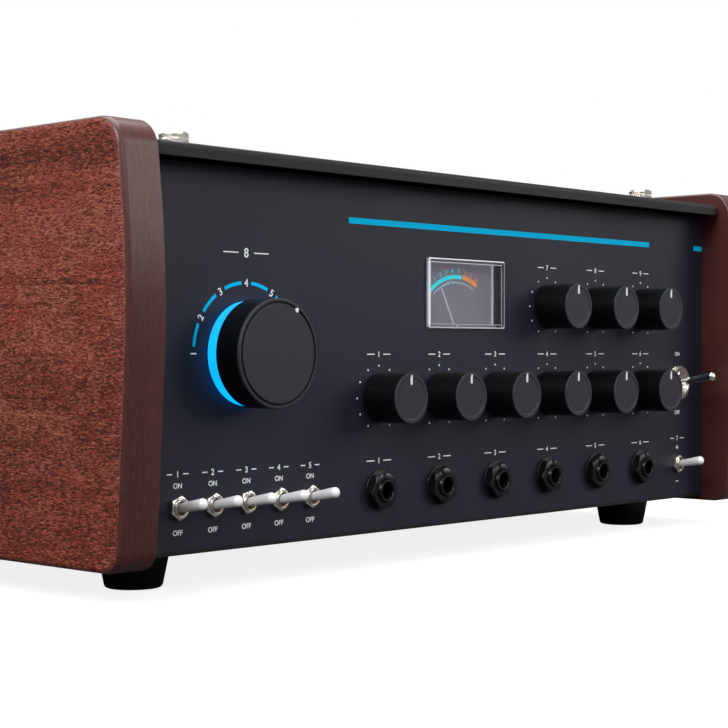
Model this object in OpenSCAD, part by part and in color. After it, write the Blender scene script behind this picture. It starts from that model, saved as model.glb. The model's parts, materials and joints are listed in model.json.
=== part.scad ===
// Tape echo unit: a metal case between two wooden cheeks, with knobs, switches,
// a meter and jacks on its front panel and a tape transport under its lid.
// Millimetres, +Z up, the front faces -Y, the origin is at the bottom centre.

/* [Case] */
// Width of the metal case between the cheeks
case_w = 376; // [372:1:400]
// Depth from the front panel's face to the rear panel's face
case_d = 232; // [228:1:270]
// Height of the front panel
panel_h = 140; // [139:0.5:156]
// Thickness of the front panel
panel_t = 3; // [2.5:0.25:4]
// Thickness of the folded sheet steel
sheet_t = 1.5; // [1:0.25:2]
// Depth of the front panel's top flange
flange_d = 26; // [22:1:30]
// Width of the side walls' folded edges
fold_w = 11; // [9:0.5:12]
// Slack between sheet parts that stand side by side
sheet_gap = 0.2; // [0.1:0.05:0.3]

/* [Cheeks] */
// Thickness of a cheek
cheek_t = 18; // [16:1:24]
// How far a cheek stands above the front panel
cheek_rise = 12; // [8:1:20]
// How far a cheek hangs below the base plate
cheek_drop = 2.5; // [0:0.5:8]
// How far a cheek's nose stands in front of the panel
cheek_nose = 19.9; // [16:0.1:24]
// How far a cheek's nose stands behind the rear panel
cheek_tail = 18.1; // [14:0.1:24]
// Height of the nose above the cheek's bottom edge
nose_up = 92; // [80:1:100]
// Radius that blends the two slants at the nose
nose_r = 350; // [250:10:420]
// Slant of the front edge above the nose, in degrees
slant_up = 6.3; // [3:0.1:8]
// Slant of the front edge below the nose, in degrees
slant_down = 3.6; // [2:0.1:6]
// Radius of the top corners
top_corner_r = 12; // [8:0.5:16]
// Radius of the bottom corners
bottom_corner_r = 8.5; // [6:0.5:12]
// Radius of the outer edges
edge_r = 2.4; // [1.5:0.1:4]
// Bevel of the inner edges
inner_bevel = 0.8; // [0.4:0.1:1.5]

/* [Lid] */
// Height of the lid's folded rim
lid_h = 5.3; // [4.5:0.1:8]
// How far the lid stands in front of the panel and behind the rear panel
lid_lip = 10.6; // [6:0.2:14]
// Radius of the lid's corners
lid_corner_r = 3.5; // [3:0.1:6]
// Gap between the lid and each cheek
lid_side_gap = 0.6; // [0.4:0.1:2]
// Gap between the lid's rim and the panel below it
lid_seat_gap = 0.2; // [0.1:0.05:0.3]
// Distance of each lid screw from the case's side
lid_screw_inset = 33.4; // [22:0.2:56]
// Distance of the lid screws behind the panel's face
lid_screw_y = 15; // [12:0.5:17]
// Diameter of a lid screw's knurled head
lid_screw_d = 11.2; // [9:0.2:14]
// Height of a lid screw's head
lid_screw_h = 7; // [5:0.2:9]
// Diameter of a lid screw's thread
lid_thread_d = 4; // [3:0.5:5]

/* [Feet] */
// Height of a foot
foot_h = 14.5; // [12:0.5:20]
// Diameter of a foot at the floor
foot_d = 21.5; // [19:0.5:24]
// Diameter of a foot at the case
foot_top_d = 27; // [25:0.5:30]
// Distance of each foot from the case's side
foot_side_inset = 27; // [20:1:48]
// Distance of a foot from the front or rear panel's face
foot_inset = 30.4; // [24:0.2:44]

/* [Knobs] */
// Distance between the panel's columns
col_pitch = 38; // [34:0.5:40]
// Share of the panel's spare width that lies left of the columns
col_share = 0.65; // [0.5:0.05:0.8]
// Height of the lower row of knobs above the panel's bottom edge
knob_row = 53; // [50:0.5:58]
// Height of the upper row of knobs above the panel's bottom edge
tone_row = 92; // [88:0.5:98]
// Diameter of a small knob
knob_d = 20; // [16:0.5:24]
// Length of a small knob
knob_l = 16.7; // [14:0.1:20]
// Gap between a small knob and the panel
knob_gap = 1; // [0.6:0.1:2]
// Width of a knob's pointer groove
pointer_w = 1.1; // [1:0.1:2]
// Length of a small knob's pointer groove
pointer_l = 4; // [3:0.5:6]
// Diameter of a pot's body
pot_d = 17; // [14:0.5:20]
// Depth of a pot's body
pot_depth = 9; // [8:0.5:14]
// Diameter of a pot's bush
pot_bush_d = 7; // [6.6:0.1:8]
// Diameter of a pot's shaft
shaft_d = 6; // [5:0.1:6]
// Running clearance of a shaft in its bush, on the radius
shaft_gap = 0.05; // [0.02:0.01:0.1]

/* [Mode switch] */
// Distance of the mode knob and the toggles' middle from the case's left side
mode_inset = 56; // [54:1:62]
// Height of the mode knob above the panel's bottom edge
mode_row = 70.9; // [66:0.1:76]
// Diameter of the mode knob
mode_d = 40.7; // [34:0.1:46]
// Thickness of the mode knob
mode_t = 12.5; // [8:0.5:14]
// Thickness of the light ring behind the mode knob
ring_t = 4.8; // [3:0.1:6]
// Outer diameter of the light ring
ring_d = 39; // [32:0.5:44]
// Inner diameter of the light ring
ring_hole_d = 26; // [22:0.5:28]
// Gap between the light ring and the mode knob
mode_gap = 0.3; // [0.2:0.05:0.8]
// Angle of the mode knob's mark at rest, clockwise from the top
mode_rest = 30; // [-90:30:90]
// Diameter of the rotary switch's body
mode_switch_d = 28; // [24:0.5:32]

/* [Toggles] */
// Distance between toggles
toggle_pitch = 17; // [14:0.5:18]
// Height of the bottom row of switches and jacks above the panel's bottom edge
bottom_row = 15.6; // [14:0.2:18]
// Throw of a toggle's lever, in degrees
toggle_throw = 20; // [16:1:28]
// Distance of the power and level toggles from the case's right side
side_inset = 23; // [22:0.5:28]
// Height of the power toggle above the panel's bottom edge
power_row = 56; // [48:0.5:70]
// Length of a small toggle's lever from its pivot
lever_l = 14.2; // [12:0.2:17]
// Length of the power toggle's lever from its pivot
power_lever_l = 21.2; // [18:0.2:24]

/* [Jacks] */
// Diameter of a jack's bore
jack_bore_d = 6.6; // [6.4:0.1:6.8]
// Diameter of a jack's threaded bush
jack_bush_d = 9; // [8.6:0.1:9.4]
// Width across the flats of a jack's nut
jack_nut_af = 14; // [12:0.5:16]
// How far a jack's bush stands in front of the panel
jack_proud = 5.3; // [4.5:0.1:7]

/* [Meter] */
// Distance of the meter's middle to the right of the first column
meter_shift = 55.4; // [52:0.1:60]
// Height of the meter's centre above the panel's bottom edge
meter_row = 96.3; // [94:0.1:100]
// Width of the meter's window
meter_w = 51.3; // [46:0.1:54]
// Height of the meter's window
meter_h = 29.4; // [27:0.1:32]
// How far the window stands in front of the panel
meter_proud = 1.6; // [1:0.1:3]
// Distance of the needle's pivot below the window
pivot_drop = 4.3; // [3.5:0.1:6]
// Length of the needle from its pivot
needle_l = 24; // [20:0.5:28]
// Lean of the needle at rest, from upright towards the left
needle_rest = 28; // [0:1:40]

/* [Tape deck] */
// Depth of the deck plate below the panel's top edge
deck_drop = 22; // [21:0.5:26]
// Distance of the deck plate behind the panel's face
deck_setback = 34; // [32:1:40]
// Thickness of the deck plate
deck_t = 2; // [1.5:0.25:3]
// Distance of the tape's straight run behind the panel's face
tape_setback = 62; // [58:1:68]
// Place of the tape's left run, from the middle
tape_left_x = -150; // [-154:1:-140]
// Place of the tape's right run, from the middle
tape_right_x = 100; // [96:1:112]
// Width of the tape
tape_w = 6.3; // [5:0.1:6.5]
// Thickness of the tape
tape_t = 0.3; // [0.2:0.05:0.4]
// Height of the tape's lower edge above the deck
tape_lift = 5.5; // [5:0.1:6.5]
// Gap between the tape and what it runs over
tape_gap = 0.15; // [0.1:0.05:0.25]
// Number of runs that the tape is folded into
fold_runs = 18; // [14:2:20]
// How unevenly the folds lie in the tray
fold_slack = 9; // [0:1:12]
// Distance of the tray's front wall behind the tape's straight run
tray_setback = 46; // [42:1:50]
// Thickness of the tray's walls and floor
tray_t = 2; // [1.5:0.25:2.5]
// Diameter of a corner guide post
guide_d = 8; // [6:0.5:10]

/* [Drive] */
// Place of the capstan, from the middle
capstan_x = 62; // [58:1:66]
// Diameter of the capstan
capstan_d = 6; // [5:0.2:7]
// Diameter of the flywheel
flywheel_d = 76; // [60:1:80]
// Height of the flywheel
flywheel_h = 12; // [10:0.5:14]
// Distance of the flywheel's top face below the deck
flywheel_drop = 14; // [13:0.5:18]
// Diameter of the motor pulley
pulley_d = 14; // [12:0.5:18]
// Distance between the motor and the capstan
motor_reach = 82; // [78:1:90]
// Diameter of the motor
motor_d = 38; // [34:1:42]
// Height of the motor
motor_h = 42; // [36:1:46]
// Thickness of the drive belt
belt_t = 1.2; // [0.8:0.1:1.6]
// Diameter of the pinch roller
roller_d = 14; // [12:0.5:18]

/* [Hidden] */
$fn = 48;

// What most moving solids keep between them
air = 0.3;

// Depth: the power lever reaches furthest forward, the cheeks furthest back
power_pivot = 0.6;
lever_tilt = toggle_throw / 2;
front_reach = max(cheek_nose, power_pivot + power_lever_l * cos(lever_tilt));
total_d = front_reach + case_d + cheek_tail;
panel_y = front_reach - total_d / 2;
rear_y = panel_y + case_d;

// Heights, from the floor up
base_z = foot_h;
panel_z = base_z + sheet_t;
panel_top = panel_z + panel_h;
wall_top = panel_top - sheet_t;
cheek_z = base_z - cheek_drop;
cheek_top = panel_top + cheek_rise;
lid_z = panel_top + lid_seat_gap;
lid_top = lid_z + lid_h;
deck_top = panel_top - deck_drop;
deck_z = deck_top - deck_t;

// Widths
wall_in = case_w / 2 - sheet_t;
panel_w = case_w - 2 * sheet_gap;
foot_x = case_w / 2 - foot_side_inset;
lid_screw_x = case_w / 2 - lid_screw_inset;

// Places across the panel: the columns share what the toggles and the power switch leave
toggle_count = 5;
col_count = 6;
toggle_nut_af = 8;
washer_r = 8.2;
power_washer_r = 8.5;
mode_x = mode_inset - case_w / 2;
side_x = case_w / 2 - side_inset;
toggle_xs = [for (i = [0:toggle_count - 1]) mode_x + (i - (toggle_count - 1) / 2) * toggle_pitch];
left_room = toggle_nut_af / sqrt(3) + washer_r;
right_room = knob_d / 2 + power_washer_r;
cols_w = (col_count - 1) * col_pitch;
spare_w = side_x - toggle_xs[toggle_count - 1] - cols_w - left_room - right_room;
col_x0 = toggle_xs[toggle_count - 1] + left_room + col_share * spare_w;
meter_x = col_x0 + meter_shift;

// Front edge of a cheek in the Y-Z plane
nose_c = [panel_y - cheek_nose + nose_r, cheek_z + nose_up];
cheek_mid_y = (panel_y - cheek_nose + rear_y + cheek_tail) / 2;
arc_steps = 8;

// Points along an arc, from angle a0 to angle a1
function arc(c, r, a0, a1, n) = [
    for (i = [0:n])
        let (a = a0 + (a1 - a0) * i / n)
            c + r * [cos(a), sin(a)]
];

// Centre of a corner that meets the nose's tangent at angle a, at height z
function corner_c(a, r, z) = [
    nose_c[0] + (nose_r - r - (z - nose_c[1]) * sin(a)) / cos(a),
    z
];

// Outline of a cheek, drawn in by inset
function cheek_front(inset) = concat(
    arc(corner_c(180 + slant_down, bottom_corner_r, cheek_z + bottom_corner_r),
        bottom_corner_r - inset, 270, 180 + slant_down, arc_steps),
    arc(nose_c, nose_r - inset, 180 + slant_down, 180 - slant_up, arc_steps),
    arc(corner_c(180 - slant_up, top_corner_r, cheek_top - top_corner_r),
        top_corner_r - inset, 180 - slant_up, 90, arc_steps)
);
function flip(points) = [
    for (i = [len(points) - 1:-1:0])
        [2 * cheek_mid_y - points[i][0], points[i][1]]
];
function cheek_outline(inset) = concat(cheek_front(inset), flip(cheek_front(inset)));

// A solid through rings of equally many points
module loft(rings) {
    n = len(rings[0]);
    last = len(rings) - 1;
    sides = [
        for (k = [0:last - 1])
            for (j = [0:n - 1])
                [k * n + j, k * n + (j + 1) % n, (k + 1) * n + (j + 1) % n, (k + 1) * n + j]
    ];
    first_cap = [[for (j = [n - 1:-1:0]) j]];
    last_cap = [[for (j = [0:n - 1]) last * n + j]];
    polyhedron(points = [for (ring = rings) each ring], faces = concat(sides, first_cap, last_cap));
}

// Local frames: +Z out of the front panel, out of the rear panel, or up from the deck
module on_panel(x, row) {
    translate([x, panel_y, panel_z + row]) rotate([90, 0, 0]) children();
}
module on_rear(x, row) {
    translate([x, rear_y, panel_z + row]) rotate([90, 0, 180]) children();
}
module on_deck(x, y) {
    translate([x, y, deck_top]) children();
}

// A ring or disc from z0 to z1, bored through unless hole_r is 0
module ring(r, hole_r, z0, z1) {
    difference() {
        translate([0, 0, z0]) cylinder(r = r, h = z1 - z0);
        if (hole_r > 0) {
            translate([0, 0, z0 - 1]) cylinder(r = hole_r, h = z1 - z0 + 2);
        }
    }
}

// A hexagon nut across flats af, its outer corners turned off in a cone
module hex_nut(af, hole_r, z0, z1) {
    h = z1 - z0;
    corner_r = af / sqrt(3);
    difference() {
        translate([0, 0, z0]) intersection() {
            cylinder(r = corner_r, h = h, $fn = 6);
            cylinder(r1 = corner_r + 0.8 * h, r2 = af / 2 + 0.1, h = h);
        }
        ring(hole_r, 0, z0 - 1, z1 + 1);
    }
}

// A box centred in X and Y, from z0 to z1
module block(w, h, z0, z1) {
    translate([-w / 2, -h / 2, z0]) cube([w, h, z1 - z0]);
}

// A box centred in X and Y with rounded upright corners, from z0 to z1
module round_block(w, h, r, z0, z1) {
    translate([0, 0, z0]) linear_extrude(height = z1 - z0) {
        square([w - 2 * r, h], center = true);
        square([w, h - 2 * r], center = true);
        for (x = [-1, 1]) {
            for (y = [-1, 1]) {
                translate([x * (w / 2 - r), y * (h / 2 - r)]) circle(r = r);
            }
        }
    }
}

/* ---- Cheeks ---- */

cheek_half = case_w / 2;
screw_r = 1.75;
screw_head_r = 3.4;
screw_head_h = 2.2;
cheek_screw_l = 13;
cheek_screw_row = 25;
cheek_screw_inset = 48;
cheek_screw_ys = [panel_y + cheek_screw_inset, rear_y - cheek_screw_inset];
deck_fold_h = 14;
deck_screw_z = deck_z - deck_fold_h / 2;

// Rings of a cheek, as [x, inset], from its bevelled inner face to its rounded outer face
round_steps = 4;
cheek_rings = concat(
    [[cheek_half, inner_bevel], [cheek_half + inner_bevel, 0]],
    [for (i = [0:round_steps])
        let (a = 90 * i / round_steps)
            [cheek_half + cheek_t - edge_r * (1 - sin(a)), edge_r * (1 - cos(a))]]
);

module cheek_body() {
    loft([for (r = cheek_rings) [for (p = cheek_outline(r[1])) [r[0], p[0], p[1]]]]);
}

// Pilot holes for the screws that hold a cheek, pointing +X
module cheek_pilots(r, x0, length) {
    for (y = cheek_screw_ys) {
        for (z = [panel_z + cheek_screw_row, deck_screw_z]) {
            translate([x0, y, z]) rotate([0, 90, 0]) cylinder(r = r, h = length);
        }
    }
}

module right_cheek() {
    color("saddlebrown") difference() {
        cheek_body();
        cheek_pilots(screw_r + 0.05, cheek_half - 1, cheek_screw_l - sheet_t + 1.2);
    }
}
module left_cheek() {
    mirror([1, 0, 0]) right_cheek();
}

/* ---- Case ---- */

foot_ys = [panel_y + foot_inset, rear_y - foot_inset];
foot_hole_r = 2.1;
inlet_x = case_w / 2 - 58;
inlet_row = 34;
inlet_w = 28;
inlet_h = 21;
inlet_fit = 0.2;
rear_screw_x = case_w / 2 - fold_w / 2 - sheet_t;
rear_screw_rows = [20, 100];
rear_flange_d = 14;

module base_tray() {
    color("dimgray") difference() {
        union() {
            translate([-case_w / 2, panel_y, base_z]) cube([case_w, case_d, sheet_t]);
            for (side = [0, 1]) {
                mirror([side, 0, 0]) tray_wall();
            }
        }
        for (x = [-foot_x, foot_x]) {
            for (y = foot_ys) {
                translate([x, y, base_z - 1]) cylinder(r = foot_hole_r, h = sheet_t + 2);
            }
        }
        for (side = [0, 1]) {
            mirror([side, 0, 0]) cheek_pilots(screw_r + 0.15, wall_in - 1, sheet_t + 2);
        }
        for (x = [-rear_screw_x, rear_screw_x]) {
            for (row = rear_screw_rows) {
                on_rear(x, row) ring(screw_r + bush_fit, 0, -3 * sheet_t, 0);
            }
        }
        translate([transformer_x, transformer_y, base_z])
            ring(bolt_r + bush_fit, 0, -1, sheet_t + 1);
    }
}

// One side wall with its two folded edges
module tray_wall() {
    wall_y0 = panel_y + panel_t;
    wall_y1 = rear_y - sheet_t;
    wall_h = wall_top - panel_z;
    translate([wall_in, wall_y0, panel_z]) cube([sheet_t, wall_y1 - wall_y0, wall_h]);
    translate([case_w / 2 - fold_w - sheet_t, wall_y0, panel_z]) cube([fold_w, sheet_t, wall_h]);
    translate([case_w / 2 - fold_w - sheet_t, wall_y1 - sheet_t, panel_z]) cube([fold_w, sheet_t, wall_h]);
}

function col_x(i) = col_x0 + i * col_pitch;
knob_cols = [0:col_count - 1];
tone_cols = [col_count - 3:col_count - 1];
small_toggle_xs = concat(toggle_xs, [side_x]);

bush_fit = 0.1;
toggle_bush_r = 3;
power_bush_r = 6;
mode_bush_r = 4.5;
meter_fit = 0.15;

module front_panel() {
    color([0.13, 0.13, 0.16]) difference() {
        union() {
            translate([-panel_w / 2, panel_y, panel_z]) cube([panel_w, panel_t, panel_h]);
            translate([-panel_w / 2, panel_y, wall_top]) cube([panel_w, flange_d, sheet_t]);
        }
        for (i = knob_cols) {
            panel_hole(col_x(i), knob_row, pot_bush_d / 2 + bush_fit);
            panel_hole(col_x(i), bottom_row, jack_bush_d / 2 + bush_fit);
        }
        for (i = tone_cols) {
            panel_hole(col_x(i), tone_row, pot_bush_d / 2 + bush_fit);
        }
        for (x = small_toggle_xs) {
            panel_hole(x, bottom_row, toggle_bush_r + bush_fit);
        }
        panel_hole(side_x, power_row, power_bush_r + bush_fit);
        panel_hole(mode_x, mode_row, mode_bush_r + bush_fit);
        on_panel(meter_x, meter_row)
            block(meter_w + 2 * meter_fit, meter_h + 2 * meter_fit, -panel_t - 1, 1);
        for (x = [-lid_screw_x, lid_screw_x]) {
            translate([x, panel_y + lid_screw_y, wall_top])
                ring(lid_thread_d / 2 + bush_fit, 0, -1, sheet_t + 1);
        }
    }
}
module panel_hole(x, row, r) {
    on_panel(x, row) ring(r, 0, -panel_t - 1, 1);
}

module rear_panel() {
    color([0.16, 0.16, 0.18]) difference() {
        union() {
            translate([-panel_w / 2, rear_y - sheet_t, panel_z]) cube([panel_w, sheet_t, panel_h]);
            translate([-panel_w / 2, rear_y - rear_flange_d, wall_top])
                cube([panel_w, rear_flange_d, sheet_t]);
        }
        on_rear(inlet_x, inlet_row)
            block(inlet_w + 2 * inlet_fit, inlet_h + 2 * inlet_fit, -sheet_t - 1, 1);
        for (x = [-inlet_ear, inlet_ear]) {
            on_rear(inlet_x + x, inlet_row) ring(screw_r + bush_fit, 0, -sheet_t - 1, 1);
        }
        for (x = [-rear_screw_x, rear_screw_x]) {
            for (row = rear_screw_rows) {
                on_rear(x, row) ring(screw_r + bush_fit, 0, -sheet_t - 1, 1);
            }
        }
    }
}

module deck_plate() {
    y0 = panel_y + deck_setback;
    y1 = rear_y - 2 * sheet_t - 1;
    color("silver") difference() {
        union() {
            translate([-wall_in, y0, deck_z]) cube([2 * wall_in, y1 - y0, deck_t]);
            for (side = [0, 1]) {
                mirror([side, 0, 0]) translate([wall_in - sheet_t, y0, deck_z - deck_fold_h])
                    cube([sheet_t, y1 - y0, deck_fold_h]);
            }
        }
        for (side = [0, 1]) {
            mirror([side, 0, 0]) deck_fold_holes();
        }
        on_deck(capstan_x, capstan_y) ring(bearing_r + bush_fit, 0, -deck_t - 1, 1);
        on_deck(arm_x, arm_y) ring(arm_pin_r + shaft_gap, 0, -deck_t - 1, 1);
    }
}
module deck_fold_holes() {
    for (y = cheek_screw_ys) {
        translate([wall_in, y, deck_screw_z]) rotate([0, 90, 0])
            ring(screw_r + bush_fit, 0, -2 * sheet_t, sheet_t);
    }
}

/* ---- Lid ---- */

lid_w = case_w - 2 * lid_side_gap;
lid_d = case_d + 2 * lid_lip;
lid_y = (panel_y + rear_y) / 2;
knurl_teeth = 32;
knurl_depth = 0.4;

module lid() {
    color([0.1, 0.1, 0.11]) difference() {
        translate([0, lid_y, 0]) difference() {
            round_block(lid_w, lid_d, lid_corner_r, lid_z, lid_top);
            round_block(lid_w - 2 * sheet_t, lid_d - 2 * sheet_t, lid_corner_r - sheet_t,
                lid_z - 1, lid_top - sheet_t);
        }
        for (x = [-lid_screw_x, lid_screw_x]) {
            translate([x, panel_y + lid_screw_y, lid_z])
                ring(lid_thread_d / 2 + shaft_gap, 0, 0, lid_h + 1);
        }
    }
}

// Outline of a knurled head, one tooth per step
function knurl(r) = [
    for (i = [0:2 * knurl_teeth - 1])
        let (a = 180 * i / knurl_teeth, rr = r - (i % 2) * knurl_depth)
            rr * [cos(a), sin(a)]
];

// A thumb screw: neck, knurled head with chamfered ends, and thread
module lid_screw(x) {
    shank = lid_top - wall_top + sheet_t;
    neck_h = 1.4;
    head_h = lid_screw_h - neck_h;
    r = lid_screw_d / 2;
    color("gainsboro") translate([x, panel_y + lid_screw_y, lid_top]) {
        ring(r - 1.2, 0, 0, neck_h);
        translate([0, 0, neck_h]) intersection() {
            linear_extrude(height = head_h) polygon(knurl(r));
            rotate_extrude() polygon([
                [0, 0],
                [r - 0.6, 0],
                [r + 0.1, 0.7],
                [r + 0.1, head_h - 0.9],
                [r - 0.8, head_h],
                [0, head_h],
            ]);
        }
        ring(lid_thread_d / 2, 0, -shank, 0.5);
    }
}
module lid_screw_left() { lid_screw(-lid_screw_x); }
module lid_screw_right() { lid_screw(lid_screw_x); }

/* ---- Feet and screws ---- */

foot_edge_r = 1.5;
foot_well_r = 6;
foot_well_h = 8;
foot_screw_in = 6;
rear_screw_l = 6;
inlet_screw_l = 8;

module feet() {
    color([0.08, 0.08, 0.08]) for (x = [-foot_x, foot_x]) {
        for (y = foot_ys) {
            translate([x, y, 0]) foot();
        }
    }
}
module foot() {
    rotate_extrude($fn = 64) polygon(concat(
        [[foot_well_r, 0]],
        arc([foot_d / 2 - foot_edge_r, foot_edge_r], foot_edge_r, -90, 0, 5),
        [[foot_top_d / 2, foot_h - 1], [foot_top_d / 2 - 0.6, foot_h]],
        [[foot_hole_r, foot_h], [foot_hole_r, foot_well_h], [foot_well_r, foot_well_h]]
    ));
}

// A pan-head screw: the head stands on z = 0 and the shank runs down from it
module pan_screw(length) {
    difference() {
        rotate_extrude($fn = 32) polygon([
            [0, 0],
            [screw_head_r, 0],
            [screw_head_r, screw_head_h * 0.45],
            [screw_head_r * 0.75, screw_head_h * 0.9],
            [0, screw_head_h],
        ]);
        for (turn = [0, 90]) {
            rotate([0, 0, turn]) block(screw_head_r * 1.1, 0.9, screw_head_h * 0.4, screw_head_h + 1);
        }
    }
    translate([0, 0, -length]) cylinder(r = screw_r, h = length + 0.2, $fn = 32);
}

module case_screws() {
    color("darkgray") {
        for (x = [-foot_x, foot_x]) {
            for (y = foot_ys) {
                translate([x, y, foot_well_h])
                    rotate([180, 0, 0]) pan_screw(foot_h - foot_well_h + foot_screw_in);
            }
        }
        for (side = [0, 1]) {
            mirror([side, 0, 0]) cheek_screws();
        }
        for (x = [-rear_screw_x, rear_screw_x]) {
            for (row = rear_screw_rows) {
                on_rear(x, row) pan_screw(rear_screw_l);
            }
        }
        for (x = [-inlet_ear, inlet_ear]) {
            on_rear(inlet_x + x, inlet_row) translate([0, 0, inlet_flange_t]) pan_screw(inlet_screw_l);
        }
    }
}
module cheek_screws() {
    for (y = cheek_screw_ys) {
        translate([wall_in, y, panel_z + cheek_screw_row])
            rotate([0, -90, 0]) pan_screw(cheek_screw_l - sheet_t);
        translate([wall_in - sheet_t, y, deck_screw_z])
            rotate([0, -90, 0]) pan_screw(cheek_screw_l);
    }
}

/* ---- Knobs and pots ---- */

nut_t = 2;
pot_proud = 5;
pot_nut_af = 10;
pot_base_w = 13;
pot_base_h = 11;
pot_base_t = 4;
pot_tag_pitch = 5;
pot_tag_l = 6;
knob_well_r = 7.5;
knob_well_h = 5.5;
knob_wall_end = 1.8;
knob_edge = 0.6;
knob_rim = 1.9;
knob_dish = 0.25;
groove_depth = 0.4;
press_gap = 0.02;
shaft_in = 6;

// A small knob and the pot shaft it is pressed on
module knob(x, row) {
    z0 = knob_gap;
    z1 = knob_gap + knob_l;
    r = knob_d / 2;
    bore_r = shaft_d / 2 + press_gap;
    bore_end = z1 - knob_wall_end;
    on_panel(x, row) {
        color([0.1, 0.1, 0.11]) difference() {
            rotate_extrude($fn = 96) polygon([
                [bore_r, z0 + knob_well_h],
                [knob_well_r, z0 + knob_well_h],
                [knob_well_r, z0],
                [r - 0.3, z0],
                [r, z0 + 0.3],
                [r, z1 - knob_edge],
                [r - knob_edge, z1],
                [r - knob_rim + 0.4, z1],
                [r - knob_rim, z1 - knob_dish],
                [0, z1 - knob_dish],
                [0, bore_end],
                [bore_r, bore_end],
            ]);
            translate([0, r - pointer_l / 2 - knob_edge, 0])
                block(pointer_w, pointer_l, z1 - knob_dish - groove_depth, z1 + 1);
        }
        color("silver") translate([0, 0, -panel_t - shaft_in])
            cylinder(r = shaft_d / 2, h = bore_end - press_gap + panel_t + shaft_in);
    }
}
module knob_1() { knob(col_x(0), knob_row); }
module knob_2() { knob(col_x(1), knob_row); }
module knob_3() { knob(col_x(2), knob_row); }
module knob_4() { knob(col_x(3), knob_row); }
module knob_5() { knob(col_x(4), knob_row); }
module knob_6() { knob(col_x(5), knob_row); }
module tone_knob_1() { knob(col_x(3), tone_row); }
module tone_knob_2() { knob(col_x(4), tone_row); }
module tone_knob_3() { knob(col_x(5), tone_row); }

// A pot: can, threaded bush, and a base strip below it with three solder tags
module pot() {
    difference() {
        union() {
            ring(pot_bush_d / 2, 0, -panel_t, pot_proud);
            ring(pot_d / 2, 0, -panel_t - pot_depth, -panel_t);
            translate([0, -pot_base_h / 2, 0])
                block(pot_base_w, pot_base_h, -panel_t - pot_base_t, -panel_t);
        }
        ring(shaft_d / 2 + shaft_gap, 0, -panel_t - shaft_in - air, pot_proud + 1);
    }
    for (i = [-1:1]) {
        translate([i * pot_tag_pitch, -pot_base_h - pot_tag_l / 2 + 1, 0])
            block(1.2, pot_tag_l, -panel_t - pot_base_t / 2 - 0.4, -panel_t - pot_base_t / 2 + 0.4);
    }
}
module pot_bodies() {
    color("darkgray") {
        for (i = knob_cols) {
            on_panel(col_x(i), knob_row) pot();
        }
        for (i = tone_cols) {
            on_panel(col_x(i), tone_row) pot();
        }
    }
}
module pot_nuts() {
    color("silver") {
        for (i = knob_cols) {
            on_panel(col_x(i), knob_row) hex_nut(pot_nut_af, pot_bush_d / 2 + bush_fit / 2, 0, nut_t);
        }
        for (i = tone_cols) {
            on_panel(col_x(i), tone_row) hex_nut(pot_nut_af, pot_bush_d / 2 + bush_fit / 2, 0, nut_t);
        }
        on_panel(mode_x, mode_row) hex_nut(mode_nut_af, mode_bush_r + bush_fit / 2, 0, nut_t);
    }
}

/* ---- Mode knob ---- */

mode_bush_proud = 4.4;
tag_l = 4;
mode_switch_depth = 18;
mode_bore_h = 7;
mode_round = 0.9;
mode_groove_w = 0.9;
mode_groove_inset = 0.2;
mode_groove_depth = 0.6;
mode_mark_w = 1.6;
mode_mark_l = 1.9;
mode_mark_inset = 2.2;
mode_nut_af = 12;

module mode_knob() {
    r = mode_d / 2;
    z0 = ring_t + mode_gap;
    z1 = z0 + mode_t;
    bore_r = shaft_d / 2 + press_gap;
    on_panel(mode_x, mode_row) {
        color([0.1, 0.1, 0.11]) difference() {
            rotate_extrude($fn = 128) polygon(concat(
                [[bore_r, z0], [r - 0.6, z0], [r, z0 + 0.6]],
                arc([r - mode_round, z1 - mode_round], mode_round, 0, 90, 6),
                [[r - mode_round - mode_groove_inset, z1]],
                [[r - mode_round - mode_groove_inset, z1 - mode_groove_depth]],
                [[r - mode_round - mode_groove_inset - mode_groove_w, z1 - mode_groove_depth]],
                [[r - mode_round - mode_groove_inset - mode_groove_w, z1]],
                [[0, z1], [0, z0 + mode_bore_h], [bore_r, z0 + mode_bore_h]]
            ));
            rotate([0, 0, -mode_rest]) translate([0, r - mode_mark_inset, 0])
                block(mode_mark_w, mode_mark_l, z1 - mode_groove_depth, z1 + 1);
        }
        color("silver") translate([0, 0, -panel_t - shaft_in])
            cylinder(r = shaft_d / 2, h = z0 + mode_bore_h - press_gap + panel_t + shaft_in);
    }
}
module mode_light_ring() {
    color("deepskyblue") on_panel(mode_x, mode_row) rotate_extrude($fn = 96) polygon([
        [ring_hole_d / 2, 0],
        [ring_d / 2, 0],
        [ring_d / 2, ring_t - 0.5],
        [ring_d / 2 - 0.5, ring_t],
        [ring_hole_d / 2, ring_t],
    ]);
}
module mode_switch_body() {
    color("dimgray") on_panel(mode_x, mode_row) difference() {
        union() {
            ring(mode_bush_r, 0, -panel_t, mode_bush_proud);
            ring(mode_switch_d / 2, 0, -panel_t - mode_switch_depth, -panel_t);
            for (i = [0:11]) {
                rotate([0, 0, 30 * i]) translate([mode_switch_d / 2 - 3, 0, -panel_t - mode_switch_depth])
                    block(2, 0.8, -tag_l, 1);
            }
        }
        ring(shaft_d / 2 + shaft_gap, 0, -panel_t - shaft_in - air, mode_bush_proud + 1);
    }
}

/* ---- Toggles ---- */

toggle_pivot = 1;
toggle_proud = 2.6;
toggle_ball_r = 1.7;
toggle_w = 7.8;
toggle_h = 13;
toggle_depth = 10;
ball_gap = 0.15;
mouth_wall = 0.5;
toggle_stem_r = 1;
toggle_tip_r = 2.15;
power_proud = 3.4;
power_ball_r = 3;
power_stem_r = 1.5;
power_tip_r = 2.3;
power_w = 17;
power_h = 28;
power_depth = 20;
power_washer_t = 0.6;
power_knurl_t = 2;
power_knurl_r = 8.3;

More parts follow.
